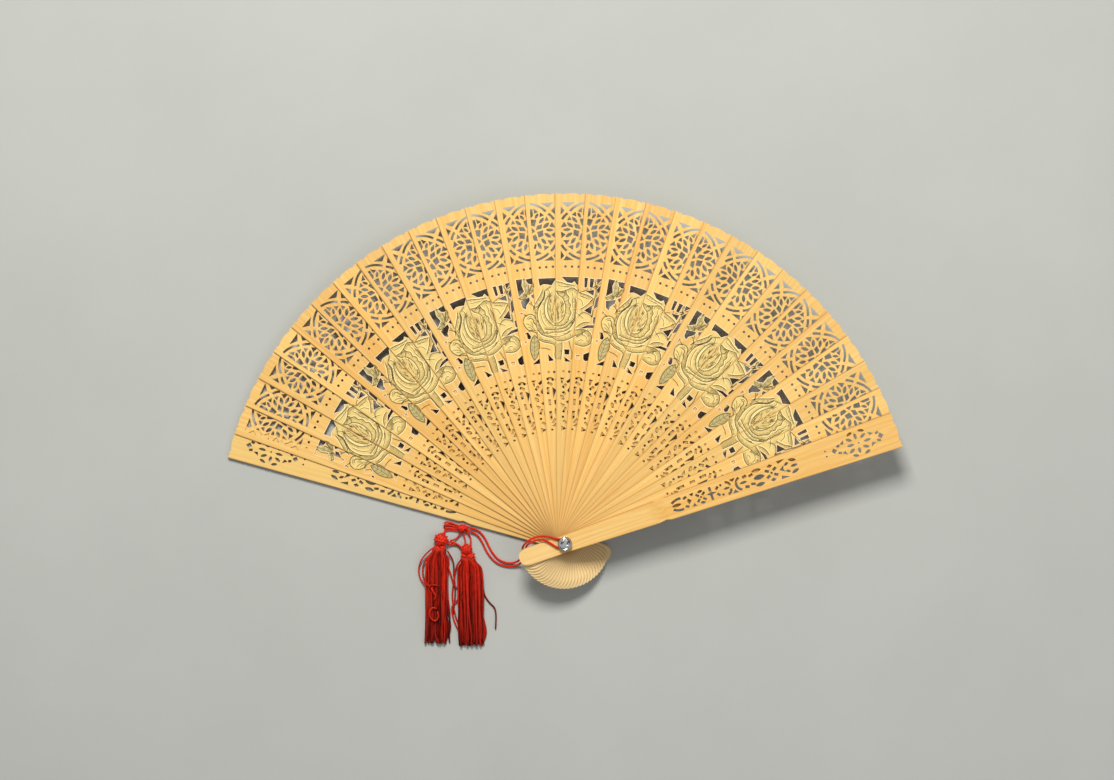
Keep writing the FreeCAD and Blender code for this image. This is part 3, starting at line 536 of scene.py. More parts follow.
def from_chart(points, centre):
    """Chart points to fan millimetres, for a chart whose zero lies in direction centre."""
    points = np.array(points, float)
    radius = HEART_RADIUS + points[:, 1]
    angle = math.radians(centre) - points[:, 0] / radius
    return np.stack([radius * np.cos(angle), radius * np.sin(angle)], 1)


def to_chart(points, centre):
    radius = np.hypot(points[:, 0], points[:, 1])
    angle = np.arctan2(points[:, 1], points[:, 0])
    return np.stack([(math.radians(centre) - angle) * radius, radius - HEART_RADIUS], 1)


def leaf_veins(outline, count):
    """Midrib and paired side veins of a leaf given as an outline from one tip round to it."""
    tip = np.array(outline[0])
    base = np.array(outline[len(outline) // 2])
    axis = base - tip
    side = np.array((-axis[1], axis[0])) / np.linalg.norm(axis)
    width = max(abs((np.array(p) - tip).dot(side)) for p in outline)
    veins = [[tuple(tip + axis * t) for t in (0.04, 0.35, 0.65, 0.97)]]
    for k in range(1, count + 1):
        t = k / (count + 1)
        reach = width * 0.82 * math.sin(math.pi * t) ** 0.7
        for sign in (-1, 1):
            root = tip + axis * t
            end = root + side * sign * reach - axis / np.linalg.norm(axis) * reach * 0.8
            veins.append([tuple(root), tuple((root + end) / 2 + axis * 0.012), tuple(end)])
    return veins


def core_hatching(draw):
    """Fine strokes all over the rose's core that fan up from below it."""
    strokes = []
    foot = np.array((-1.6, -8.0))
    low = np.min(CORE_OUTLINE, axis=0)
    high = np.max(CORE_OUTLINE, axis=0)
    while len(strokes) < CORE_STROKES:
        start = np.array((draw.uniform(low[0], high[0]), draw.uniform(low[1], high[1])))
        heading = (start - foot) / np.linalg.norm(start - foot)
        across = np.array((-heading[1], heading[0]))
        length = draw.uniform(1.3, 3.0)
        bow = draw.uniform(-0.35, 0.35)
        if not inside(np.array([start, start + heading * length]), CORE_OUTLINE).all():
            continue
        strokes.append([tuple(start), tuple(start + heading * length / 2 + across * bow),
                        tuple(start + heading * length)])
    return strokes


def beside(line, distance):
    """Line that runs beside another one, to its left if the distance is positive."""
    path = smooth_curve(line, HATCH_STEP)
    ahead = np.gradient(path, axis=0)
    ahead /= np.linalg.norm(ahead, axis=1)[:, None] + 1e-12
    return path + distance * np.stack([-ahead[:, 1], ahead[:, 0]], 1)


def petal_hatching(line, draw, length, side):
    """Short strokes that leave a petal line on one side, as engraved shading."""
    path = smooth_curve(line, HATCH_STEP)
    strokes = []
    for p, q in zip(path[1:-1], path[2:]):
        heading = (q - p) / (np.linalg.norm(q - p) + 1e-9)
        across = np.array((-heading[1], heading[0])) * side
        reach = length * draw.uniform(0.5, 1.0)
        end = p + across * reach + heading * 0.35 * reach
        strokes.append([tuple(p), tuple((p + end) / 2 + heading * 0.06), tuple(end)])
    return strokes


def group_art(group, draw):
    """Every stroke of one rose and its leaves as (fan points, width, ink), and the tint charts."""
    first = 4 * group + 1
    rose = stick_angle(first + ROSE_TIE[0]) + ROSE_TIE[1]
    leaf = stick_angle(first + LEAF_TIE[0]) + LEAF_TIE[1]
    spiky = stick_angle(first + SPIKY_TIE[0]) + SPIKY_TIE[1]
    strokes = [(line, rose, ROSE_WIDTH, INK) for line in ROSE_LINES]
    strokes += [(line, leaf, LEAF_WIDTH, INK_GREEN) for line in LEAF_LINES]
    strokes += [(line, spiky, LEAF_WIDTH, INK_GREEN) for line in SPIKY_LINES]
    strokes += [(line, rose, CORE_WIDTH, INK) for line in core_hatching(draw)]
    strokes += [(line, rose, FOLD_WIDTH, INK) for line in FOLD_LINES]
    strokes += [(line, leaf, FOLD_WIDTH, INK) for line in BUD_LINES]
    away, width = PETAL_EDGE_HIGHLIGHT
    for number, side, length in SHADED_LINES:
        line = ROSE_LINES[number]
        strokes += [(hatch, rose, HATCH_WIDTH, INK)
                    for hatch in petal_hatching(line, draw, length, side)]
        # A painted highlight runs beside the line, on the side away from its hatching.
        strokes.append((beside(line, -away * side), rose, width, PETAL_HIGHLIGHT))
    # Painted highlights run beside the fold lines as well.
    away, width = FOLD_HIGHLIGHT
    strokes += [(beside(line, away), rose, width, PETAL_HIGHLIGHT) for line in FOLD_LINES]
    for outline, count in ((LOW_LEAF, 5), (UP_LEAF, 3), (SIDE_LEAF, 2), (FLAT_LEAF, 2)):
        strokes += [(vein, leaf, VEIN_WIDTH, INK_GREEN) for vein in leaf_veins(outline, count)]
    drawn = [(from_chart(smooth_curve(line, LINE_STEP), centre), width, ink)
             for line, centre, width, ink in strokes]
    return {"strokes": drawn, "rose": rose, "leaf": leaf,
            "main": np.vstack([smooth_curve(line, 0.6) for line in ROSE_LINES])}


def tint(points, art):
    """Paint colour and strength at fan points: petals, core, bud and leaves."""
    in_rose = to_chart(points, art["rose"])
    in_leaf = to_chart(points, art["leaf"])
    colour = np.zeros((len(points), 3))
    strength = np.zeros(len(points))
    gap = np.min(np.linalg.norm(in_rose[:, None, :] - art["main"][None, :, :], axis=2), axis=1)
    shade = np.exp(-gap / 0.85)[:, None]
    petal = np.array(PETAL_LIGHT) * (1 - 0.85 * shade) + np.array(PETAL_SHADE) * 0.85 * shade
    regions = [(inside(in_rose, ROSE_OUTLINE), petal, 0.80),
               (inside(in_leaf, BUD_OUTLINE), petal, 0.80),
               (inside(in_rose, CORE_OUTLINE), 0.65 * petal + 0.35 * np.array(CORE_TINT), 0.76),
               (inside(in_rose, STEM_OUTLINE), np.array(LEAF_SHADE) * 1.3, 0.45)]
    wave = 0.5 + 0.5 * np.sin(in_leaf[:, 1] * 2.1)[:, None]
    green = np.array(LEAF_LIGHT) * wave + np.array(LEAF_SHADE) * (1 - wave)
    for outline in (LOW_LEAF, UP_LEAF, SIDE_LEAF, FLAT_LEAF):
        regions.append((inside(in_leaf, outline), 0.6 * green + 0.4 * np.array(LEAF_LIGHT), 0.75))
    for mask, shades, amount in regions:
        shades = np.broadcast_to(shades, colour.shape)
        colour[mask] = shades[mask]
        strength[mask] = amount
    return colour, strength


def fan_point(across, along, angle):
    """Where a place on a stick lies in the fan."""
    c = math.cos(math.radians(angle))
    s = math.sin(math.radians(angle))
    return along * c + across * s, along * s - across * c


class Surface:
    """Top face of one stick: says where there is wood, in fan millimetres."""

    def __init__(self, node, angle):
        obj = NODES[node]
        mesh = obj.data
        self.tree = BVHTree.FromPolygons([v.co for v in mesh.vertices],
                                         [p.vertices for p in mesh.polygons])
        self.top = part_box(node)[1].z
        self.angle = angle

    def wood(self, x, y):
        start = Vector((x * MM, y * MM, self.top + MM))
        hit = self.tree.ray_cast(start, Vector((0, 0, -1)), 1.5 * MM)
        return hit[0] is not None and abs(hit[0].z - self.top) < LEVEL

    def local(self, points):
        """Fan points to across and along the stick."""
        c = math.cos(math.radians(self.angle))
        s = math.sin(math.radians(self.angle))
        along = points[:, 0] * c + points[:, 1] * s
        across = points[:, 0] * s - points[:, 1] * c
        return across, along


def half_at(along, half):
    return half[0] + (half[1] - half[0]) * np.maximum(along, 0) / TIP_RADIUS


def flat_band(left, right, bottom, spans):
    """Corners and sides of a band one film thick between two edges, over so many spans."""
    top = bottom + FILM
    points = []
    for a, b in zip(left, right):
        points += [(a[0], a[1], bottom), (b[0], b[1], bottom), (b[0], b[1], top), (a[0], a[1], top)]
    faces = []
    for i in range(spans):
        a = 4 * i
        b = 4 * ((i + 1) % len(left))
        faces += [(a + k, b + k, b + (k + 1) % 4, a + (k + 1) % 4) for k in range(4)]
    return points, faces


def add_band(builder, path, width, bottom, ink):
    """Closed flat band of paint along a path, tapering at its ends."""
    path = np.array(path)
    count = len(path)
    ahead = np.gradient(path, axis=0)
    ahead /= np.linalg.norm(ahead, axis=1)[:, None] + 1e-12
    across = np.stack([-ahead[:, 1], ahead[:, 0]], 1)
    taper = np.minimum(1.0, 0.45 + 0.25 * np.minimum(np.arange(count), np.arange(count)[::-1]))
    offset = across * (width / 2 * taper)[:, None]
    left = path + offset
    right = path - offset
    ends = [(0, 1, 2, 3), tuple(4 * (count - 1) + k for k in (3, 2, 1, 0))]
    points, faces = flat_band(left, right, bottom, count - 1)
    builder.add(points, ends + faces, rgba(ink))


def draw_strokes(builder, surface, arts):
    for art in arts:
        for path, width, ink in art["strokes"]:
            base = surface.top / MM + (HIGHLIGHT_HEIGHT if ink is PETAL_HIGHLIGHT else INK_HEIGHT)
            across, along = surface.local(path)
            on_stick = np.abs(across) < half_at(along, STICK_HALF) - INK_MARGIN
            on_stick &= along > STROKES_FROM
            run = []
            for ok, point in [*zip(on_stick, path), (False, None)]:
                if ok and all(surface.wood(point[0] + dx, point[1] + dy) for dx, dy in AROUND):
                    run.append(point)
                    continue
                if len(run) >= SHORTEST_STROKE:
                    add_band(builder, run, width, base, ink)
                run = []


def paint_skin(builder, surface, arts):
    """Film of petal and leaf colour, in small cells that keep clear of the openings."""
    reach = STICK_HALF[1]
    xs = np.arange(-reach, reach + SKIN_STEP, SKIN_STEP)
    ys = np.arange(BAND_LOW, BAND_HIGH + SKIN_STEP, SKIN_STEP)
    grid_x, grid_y = np.meshgrid(xs, ys)
    across = grid_x.ravel()
    along = grid_y.ravel()
    flat = np.stack(fan_point(across, along, surface.angle), 1)
    colour = np.zeros((len(flat), 3))
    strength = np.zeros(len(flat))
    for art in arts:
        shades, amounts = tint(flat, art)
        better = amounts > strength
        colour[better] = shades[better]
        strength[better] = amounts[better]
    width = len(xs)
    near = np.abs(across) < half_at(along, STICK_HALF) - SKIN_MARGIN
    live = np.zeros(len(flat), bool)
    soft = strength.reshape(grid_x.shape) > 0
    grown = soft.copy()
    grown[1:] |= soft[:-1]
    grown[:-1] |= soft[1:]
    grown[:, 1:] |= soft[:, :-1]
    grown[:, :-1] |= soft[:, 1:]
    for i in np.nonzero(near & grown.ravel())[0]:
        live[i] = surface.wood(flat[i, 0], flat[i, 1])
    missing = ~soft.ravel()
    colour[missing] = PETAL_LIGHT
    bottom = surface.top / MM + FILM
    cells = []
    for row in range(len(ys) - 1):
        for col in range(width - 1):
            corner = row * width + col
            cell = (corner, corner + 1, corner + width + 1, corner + width)
            if all(live[i] for i in cell) and any(soft.ravel()[i] for i in cell):
                cells.append(cell)
    used = sorted({i for cell in cells for i in cell})
    if not used:
        return
    lookup = {i: n for n, i in enumerate(used)}
    count = len(used)
    points = [(flat[i, 0], flat[i, 1], bottom + FILM) for i in used]
    points += [(flat[i, 0], flat[i, 1], bottom) for i in used]
    shades = [rgba(tuple(colour[i]), strength[i]) for i in used] * 2
    faces = [tuple(lookup[i] for i in cell) for cell in cells]
    edges = {}
    for face in faces:
        for a, b in zip(face, face[1:] + face[:1]):
            edges[(a, b)] = True
    walls = [(b, a, a + count, b + count) for a, b in edges if (b, a) not in edges]
    undersides = [tuple(count + i for i in reversed(face)) for face in faces]
    builder.add(points, faces + undersides + walls, shades)


def opening_loops(node):
    """Closed loops of the top face's border, each with the wood on its left."""
    mesh = NODES[node].data
    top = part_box(node)[1].z
    key = {}
    place = []
    index = []
    for vertex in mesh.vertices:
        rounded = tuple(round(c / MM, 3) for c in vertex.co)
        if rounded not in key:
            key[rounded] = len(place)
            place.append(rounded[:2])
        index.append(key[rounded])
    edges = {}
    for polygon in mesh.polygons:
        if polygon.normal.z < 0.9 or abs(polygon.center.z - top) > LEVEL:
            continue
        ring = [index[v] for v in polygon.vertices]
        for a, b in zip(ring, ring[1:] + ring[:1]):
            edges[(a, b)] = True
    following = {a: b for a, b in edges if (b, a) not in edges}
    loops = []
    while following:
        start = next(iter(following))
        loop = [start]
        step = following.pop(start)
        while step != start and step in following:
            loop.append(step)
            step = following.pop(step)
        loops.append(np.array([place[i] for i in loop]))
    return loops


def highlight_rims(builder, surface, node):
    """Pale rims round the openings of the flower band: a painted highlight along their cut edges."""
    bottom = surface.top / MM + RIM_HEIGHT
    for loop in opening_loops(node):
        middle = loop.mean(0)
        radius = np.hypot(*middle)
        if not BAND_LOW < radius < BAND_HIGH or not 3 <= len(loop) <= MOST_CORNERS:
            continue
        if np.ptp(loop, axis=0).max() > LARGEST_OPENING:
            continue
        ahead = np.roll(loop, -1, 0) - loop
        ahead /= np.linalg.norm(ahead, axis=1)[:, None] + 1e-12
        normal = np.stack([-ahead[:, 1], ahead[:, 0]], 1)
        corner = normal + np.roll(normal, 1, 0)
        corner /= np.maximum(np.linalg.norm(corner, axis=1)[:, None], 0.5)
        corner /= np.maximum((corner * normal).sum(1)[:, None], 0.55)
        inner, outer = (loop + corner * reach for reach in RIM_REACH)
        builder.add(*flat_band(inner, outer, bottom, len(loop)), rgba(RIM_HIGHLIGHT, 0.85))


# ---------------------------------------------------------------- wood and paint

def dress_sticks():
    tones = random.Random(11)
    draw = random.Random(5)
    groups = [group_art(group, draw) for group in range(INNER_STICKS // 4)]
    for index in range(1, INNER_STICKS + 1):
        node = "stick_%02d" % index
        angle = stick_angle(index)
        tone = tones.uniform(0.91, 1.06)
        warmth = tones.uniform(-0.4, 1.1)
        seed = tones.uniform(1, 9)
        look = (angle, STICK_HALF, tone, warmth, seed)
        coat(node, wood_material("wood_%02d" % index, *look))
        surface = Surface(node, angle)
        near = [(index - 1) // 4 + shift for shift in (-1, 0, 1)]
        arts = [groups[g] for g in near if 0 <= g < len(groups)]
        builder = Builder()
        paint_skin(builder, surface, arts)
        highlight_rims(builder, surface, node)
        draw_strokes(builder, surface, arts)
        painted = builder.build("paint_%02d" % index, "paint",
                                wood_material("painted_wood_%02d" % index, *look, painted=True))
        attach(painted, node)
    for node, index, warmth in (("back_guard", 0, -0.8), ("front_guard", INNER_STICKS + 1, 0.75)):
        coat(node, wood_material(node + "_wood", stick_angle(index), GUARD_HALF, 0.96, warmth,
                                 4.0 + index, topmost=index > 0))


RIBBON_RADIUS = 177.4
RIBBON_HALF = 1.5
RIBBON_THICKNESS = 0.05
RIBBON_DROP = 0.075             # from a stick's back to the ribbon's own back
RIBBON_INSET = 0.6
RIBBON_COLUMNS = 24


def ribbon_segments():
    """One woven segment behind each stick and the front guard, each moving with it."""
    silk = ribbon_material()
    bodies = ["stick_%02d" % i for i in range(1, INNER_STICKS + 1)] + ["front_guard"]
    for index, body in enumerate(bodies, 1):
        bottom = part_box(body)[0].z / MM - RIBBON_DROP
        builder = Builder()
        columns = RIBBON_COLUMNS
        points = []
        for level in (0, RIBBON_THICKNESS):
            for row in (-1, 1):
                for col in range(columns + 1):
                    across = (2 * col / columns - 1) * (STICK_HALF[1] - RIBBON_INSET)
                    bow = across ** 2 / (2 * RIBBON_RADIUS)
                    along = RIBBON_RADIUS + row * RIBBON_HALF - bow
                    points.append((*fan_point(across, along, stick_angle(index)), bottom + level))
        line = columns + 1
        faces = []
        for col in range(columns):
            faces.append((col, line + col, line + col + 1, col + 1))
            faces.append((2 * line + col, 2 * line + col + 1, 3 * line + col + 1, 3 * line + col))
            faces.append((col, col + 1, 2 * line + col + 1, 2 * line + col))
            faces.append((line + col, 3 * line + col, 3 * line + col + 1, line + col + 1))
        faces.append((0, 2 * line, 3 * line, line))
        faces.append((columns, line + columns, 3 * line + columns, 2 * line + columns))
        builder.add(points, faces, WHITE)
        segment = builder.build("ribbon_%02d" % index, "paint", silk)
        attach(segment, body)


dress_sticks()
ribbon_segments()


def fixed_piece(builder, name, material, node, smooth=True):
    """Makes a piece that stands for one node of the root body."""
    piece = builder.build(name, "shade", material, smooth)
    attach(piece, "back_and_rivet")
    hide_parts(node)
    return piece


# ---------------------------------------------------------------- rivet

def lathe(builder, profile, sides, colour):
    """Closed ring turned about +Z from (radius, height) points."""
    count = len(profile)
    points = []
    for k in range(sides):
        turn = 2 * math.pi * k / sides
        points += [(r * math.cos(turn), r * math.sin(turn), z) for r, z in profile]
    faces = []
    for k in range(sides):
        a = k * count
        b = (k + 1) % sides * count
        faces += [(a + i, b + i, b + (i + 1) % count, a + (i + 1) % count) for i in range(count)]
    builder.add(points, faces, colour)


def cut_stone(builder, foot_z, colour):
    """Brilliant-cut dome: girdle, star facets and a flat table."""
    sides = 8
    step = 360 / sides
    girdle_radius = 2.62
    girdle = [(girdle_radius, step * k / 2, foot_z + 0.75) for k in range(2 * sides)]
    star = [(1.95, step * (k + 0.5), foot_z + 1.5) for k in range(sides)]
    table = [(1.15, step * k, foot_z + 1.95) for k in range(sides)]
    base = [(girdle_radius, step * k / 2, foot_z) for k in range(2 * sides)]
    points = [(r * math.cos(math.radians(a)), r * math.sin(math.radians(a)), z)
              for r, a, z in girdle + star + table + base]
    star_at = 2 * sides
    table_at = 3 * sides
    base_at = 4 * sides
    faces = [tuple(range(table_at, table_at + sides)),
             tuple(reversed(range(base_at, base_at + 2 * sides)))]
    for k in range(sides):
        after = (k + 1) % sides
        g = 2 * k
        faces.append((g, g + 1, star_at + k))
        faces.append((g + 1, (g + 2) % (2 * sides), star_at + k))
        faces.append((star_at + k, (g + 2) % (2 * sides), star_at + after))
        faces.append((star_at + k, star_at + after, table_at + after))
        faces.append((table_at + k, star_at + k, table_at + after))
    for k in range(2 * sides):
        after = (k + 1) % (2 * sides)
        faces.append((k, base_at + k, base_at + after, after))
    builder.add(points, faces, colour)


# Section of the bezel: (radius, height above the cup's foot)
BEZEL = [(3.0, 0.0), (3.35, 0.12), (3.58, 0.5), (3.55, 0.95), (3.3, 1.32), (2.98, 1.42),
         (2.72, 1.28), (2.62, 0.95), (2.6, 0.4), (2.0, 0.35), (1.6, 0.0)]
STONE_FOOT = 0.4                # the stone's foot above the cup's


def rivet():
    nickel = metal_material("nickel", NICKEL, 0.14)
    for node in ("rivet_foot", "rivet_pin", "front_washer"):
        coat(node, nickel)
    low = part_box("jewel_setting")[0].z / MM
    builder = Builder()
    lathe(builder, [(r, low + z) for r, z in BEZEL], 64, WHITE)
    fixed_piece(builder, "bezel", nickel, "jewel_setting")
    builder = Builder()
    cut_stone(builder, low + STONE_FOOT, WHITE)
    fixed_piece(builder, "cut_stone", jewel_material(), "jewel", smooth=False)


rivet()


# ---------------------------------------------------------------- cord, bow and tassels

STRAND_A = [
    (0, 2.2, 23.9), (-4.0, 2.5, 23.9), (-8.6, 3.9, 23.9), (-13.4, 4.1, 24.0),
    (-17.9, 2.3, 24.2), (-21.2, -0.5, 23.0), (-21.9, -2.8, 18.0), (-21.9, -5.4, 12.4),
    (-22.6, -8.4, 6.6), (-25.2, -11.0, 2.0), (-30.0, -11.6, 0.7), (-35.0, -9.6, 0.7),
    (-38.8, -4.4, 0.7), (-41.6, 2.0, 0.7), (-45.6, 6.4, 1.0), (-50.8, 7.3, 1.9),
]
STRAND_B = [
    (0, -2.2, 23.9), (-3.2, -2.3, 23.9), (-6.6, -0.2, 23.9),
    (-10.4, 2.2, 23.9), (-14.6, 2.2, 24.1), (-17.6, 0.7, 24.2), (-19.7, -0.8, 22.3),
    (-20.1, -2.8, 17.2), (-20.3, -5.8, 11.2), (-21.2, -9.4, 5.4), (-24.4, -12.6, 1.4),
    (-29.8, -13.4, 0.7), (-35.6, -11.6, 0.7), (-40.2, -6.6, 0.7), (-43.0, -0.2, 0.7),
    (-46.4, 4.4, 1.0), (-50.8, 5.7, 1.9),
]
PLY_RADIUS = 0.32
PLY_OFFSET = 0.28
PLY_PITCH = 4.2
PLY_STEP = 0.4


def route_spline(name, points):
    curve = bpy.data.curves.new(name, "CURVE")
    curve.dimensions = "3D"
    curve.resolution_u = 12
    spline = curve.splines.new("NURBS")
    spline.points.add(len(points) - 1)
    for made, point in zip(spline.points, points):
        made.co = (*[c * MM for c in point], 1.0)
    spline.order_u = 3
    spline.use_endpoint_u = True
    made = bpy.data.objects.new(name, curve)
    bpy.context.scene.collection.objects.link(made)
    return made


def follow(path, step):
    """Points evenly spaced along a path."""
    lengths = np.concatenate([[0], np.cumsum(np.linalg.norm(np.diff(path, axis=0), axis=1))])
    count = max(2, int(lengths[-1] / step))
    wanted = np.linspace(0, lengths[-1], count)
    return np.stack([np.interp(wanted, lengths, path[:, k]) for k in range(3)], 1)


def plied_cord(name, points, material):
    """Cord of three twisted plies that follows its route's spline."""
    guide = route_spline(name + "_route", points)
    bpy.context.view_layer.update()
    line = bpy.data.meshes.new_from_object(guide)
    path = np.array([v.co[:] for v in line.vertices]) / MM
    bpy.data.objects.remove(guide)
    path = follow(path, PLY_STEP)
    run = np.arange(len(path)) * np.linalg.norm(path[1] - path[0])
    ahead = np.gradient(path, axis=0)
    ahead /= np.linalg.norm(ahead, axis=1)[:, None]
    normal = np.cross(ahead[0], (0.0, 0.0, 1.0))
    builder = Builder()
    frames = []
    for heading in ahead:
        normal = normal - heading * normal.dot(heading)
        normal = normal / np.linalg.norm(normal)
        frames.append((normal, np.cross(heading, normal)))
    for ply in range(3):
        turn = 2 * math.pi * (run / PLY_PITCH + ply / 3)
        strand = [p + PLY_OFFSET * (math.cos(t) * a + math.sin(t) * b)
                  for p, t, (a, b) in zip(path, turn, frames)]
        tube(builder, strand, PLY_RADIUS, (0.62 + 0.14 * ply,) * 3 + (1.0,))
    cord = fixed_piece(builder, name + "_plied", material, name)


# Knots of wound cord: centre, half sizes, groups of parallel turns, cord radius, brightness.
# Each group is (lean, where its turns lie from end to end, swell).
BOW_KNOT = ((-53.0, 6.8, 2.3), (2.6, 2.3, 2.0),
            ((0.5, (-0.6, -0.05, 0.5), 1.0), (-0.9, (-0.3, 0.3), 1.1), (1.6, (0.0,), 1.15)),
            0.50, 0.95)
LEFT_HEAD = (
    ((-64.1, 0.9, 3.5), (3.7, 3.9, 3.2),
     ((0.35, (-0.72, -0.4, -0.05, 0.3, 0.64), 0.94), (-0.75, (-0.5, -0.1, 0.32), 1.04),
      (1.25, (-0.15, 0.3), 1.1)), 0.56, 1.0),
    ((-66.2, -3.3, 3.0), (1.9, 1.5, 1.9),
     ((0.4, (-0.3, 0.3), 1.0), (-1.0, (0.0,), 1.12)), 0.5, 0.95),
    ((-63.4, -3.2, 3.1), (1.9, 1.5, 1.9),
     ((-0.3, (-0.3, 0.3), 1.0), (1.1, (0.0,), 1.12)), 0.5, 0.9),
)
RIGHT_HEAD = (
    ((-50.9, -4.2, 3.5), (3.4, 3.1, 3.2),
     ((1.1, (-0.6, -0.2, 0.2, 0.6), 0.94), (-0.2, (-0.4, 0.0, 0.4), 1.05),
      (0.5, (0.2,), 1.12)), 0.56, 1.0),
    ((-48.9, -7.6, 3.2), (2.7, 2.2, 2.7),
     ((0.9, (-0.45, 0.0, 0.45), 0.95), (-0.5, (-0.3, 0.3), 1.08)), 0.54, 0.97),
    ((-52.3, -7.3, 3.0), (2.2, 2.0, 2.4),
     ((-0.6, (-0.4, 0.1, 0.5), 0.95), (0.8, (0.0,), 1.1)), 0.52, 0.93),
)
# The bow's loops: where each one's tip lies, and the heights of its lower and upper run.
BOW_MIDDLE_Y = 7.8
BOW_LOOP_TIPS = ((-62.4, 9.4, 1.4, 2.8), (-62.8, 7.9, 0.9, 2.0), (-62.4, 6.3, 0.8, 1.6))
LOOP_RADIUS = 0.46
# Short cords between the bow and the heads, and stray threads: brightness and route.
LINK_RADIUS = 0.45
LINKS = (
    (0.5, [(-61.8, 6.0, 1.4), (-62.6, 4.4, 1.6), (-62.2, 2.6, 2.6), (-63.2, 1.6, 3.4)]),
    (0.55, [(-53.0, 5.2, 2.0), (-52.2, 2.6, 1.8), (-51.6, 0.0, 2.4), (-51.6, -3.0, 3.6)]),
    (0.4, [(-51.6, 5.8, 2.0), (-49.6, 3.2, 1.6), (-48.8, 0.6, 2.0), (-49.4, -2.8, 3.4)]),
    (0.35, [(-53.8, 5.0, 2.0), (-55.0, 2.8, 1.2), (-56.6, 1.2, 1.2), (-59.4, 0.2, 2.4)]),
    (0.75, [(-60.8, -0.4, 2.8), (-58.0, -0.6, 1.8), (-55.6, -1.6, 1.9), (-53.2, -3.4, 3.2)]),
    (0.35, [(-60.8, -1.6, 2.4), (-57.6, -1.8, 1.1), (-55.0, -2.6, 1.2), (-53.0, -4.6, 2.6)]),
)
STRAY_RADIUS = 0.42
LEFT_STRAYS = (
    (0.85, [(-67.2, -2.6, 3.4), (-70.6, -5.2, 3.0), (-74.4, -9.6, 2.2), (-75.8, -15.0, 1.4),
            (-74.6, -20.0, 1.2), (-71.4, -22.6, 3.2), (-67.6, -22.4, 4.9), (-65.4, -23.0, 4.6)]),
    (0.7, [(-67.0, -4.0, 3.0), (-71.0, -8.2, 2.6), (-73.4, -12.4, 1.8), (-73.6, -17.6, 1.2),
           (-71.8, -21.6, 2.6), (-69.8, -23.6, 4.6)]),
    (0.95, [(-69.4, -23.8, 4.8), (-68.2, -25.8, 5.2), (-67.0, -28.0, 5.1), (-67.6, -30.2, 4.8)]),
    (0.95, [(-66.4, -34.6, 4.9), (-68.6, -34.2, 5.2), (-70.0, -36.4, 5.1), (-69.4, -39.6, 4.8),
            (-67.2, -41.0, 4.9), (-65.6, -39.2, 4.8), (-66.0, -36.0, 4.7)]),
    (0.3, [(-60.8, -5.0, 2.6), (-58.0, -10.4, 2.0), (-57.6, -17.4, 1.2), (-57.0, -24.0, 0.9),
           (-57.2, -31.0, 0.7), (-58.2, -38.6, 0.6)]),
    (0.85, [(-61.0, -12.0, 2.2), (-59.0, -17.8, 1.6), (-57.6, -22.6, 1.3), (-55.8, -23.9, 1.5),
            (-53.8, -22.6, 2.4)]),
)
RIGHT_STRAYS = (
    (0.2, [(-44.8, -16.0, 2.2), (-42.8, -22.0, 1.4), (-41.6, -28.0, 0.9), (-39.2, -31.8, 0.6),
           (-36.6, -34.6, 0.6), (-35.8, -38.6, 0.6), (-36.0, -45.6, 0.6)]),
    (0.7, [(-53.6, -9.0, 2.4), (-56.4, -13.6, 1.8), (-57.6, -20.6, 1.2), (-58.4, -29.0, 0.8),
           (-57.0, -38.0, 0.6), (-54.8, -44.6, 0.6), (-53.4, -50.4, 0.6)]),
    (0.9, [(-55.4, -30.0, 1.6), (-58.6, -34.4, 0.9), (-57.6, -41.0, 0.6), (-55.0, -47.0, 0.6)]),
)
# A skirt: its neck, its fullest place (x, y, half width), its end (left, right, y), its threads.
LEFT_SKIRT = ((-65.2, -3.4), (-66.0, -10.0, 5.6), (-72.9, -60.1, -53.2), 46)
RIGHT_SKIRT = ((-50.3, -8.2), (-49.4, -14.5, 6.2), (-54.8, -41.6, -54.4), 52)


def shade(value):
    return (value, value, value, 1.0)


def ball(builder, centre, half, value):
    """Smooth core that shows dark between the strands wound over it, as painted shade between them."""
    rows = 8
    columns = 14
    points = []
    for row in range(rows + 1):
        polar = math.pi * row / rows
        for col in range(columns):
            turn = 2 * math.pi * col / columns
            points.append((centre[0] + half[0] * math.sin(polar) * math.cos(turn),
                           centre[1] + half[1] * math.cos(polar),
                           centre[2] + half[2] * math.sin(polar) * math.sin(turn)))
    faces = []
    for row in range(rows):
        for col in range(columns):
            a = row * columns + col
            b = row * columns + (col + 1) % columns
            faces.append((a, b, b + columns, a + columns))
    builder.add(points, faces, shade(value))


def wound_ball(builder, centre, half, groups, strand, light, draw):
    """Knot of cord: groups of parallel turns round a dark core, painted shade between the turns."""
    # The core is dark: painted shade between the turns.
    ball(builder, centre, [0.9 * h - strand for h in half], light * 0.15)
    turns = np.arange(26) * 2 * math.pi / 26
    for lean, offsets, swell in groups:
        along = np.array((math.cos(lean), math.sin(lean), 0.0))
        across = np.array((-math.sin(lean), math.cos(lean), 0.0))
        for offset in offsets:
            offset = offset + draw.uniform(-0.04, 0.04)
            share = math.sqrt(1 - offset * offset)
            skew = draw.uniform(-0.12, 0.12)
            path = [np.array(centre) + (np.array(half) - strand) * swell * (
                        along * (offset + skew * math.cos(t)) + share * across * math.cos(t)
                        + np.array((0, 0, share * math.sin(t)))) for t in turns]
            tube(builder, path, strand, shade(light * draw.uniform(0.72, 1.0)), closed=True)


def strand_line(builder, points, strand, value, fall=0.0):
    """One loose thread; fall darkens it towards its end."""
    path = smooth_curve(points, 0.9)
    count = len(path)
    values = [max(0.02, value - fall * (i / count) ** 1.5) for i in range(count)]
    tube(builder, path, strand, [shade(v) for v in values for _ in range(TUBE_SIDES)])


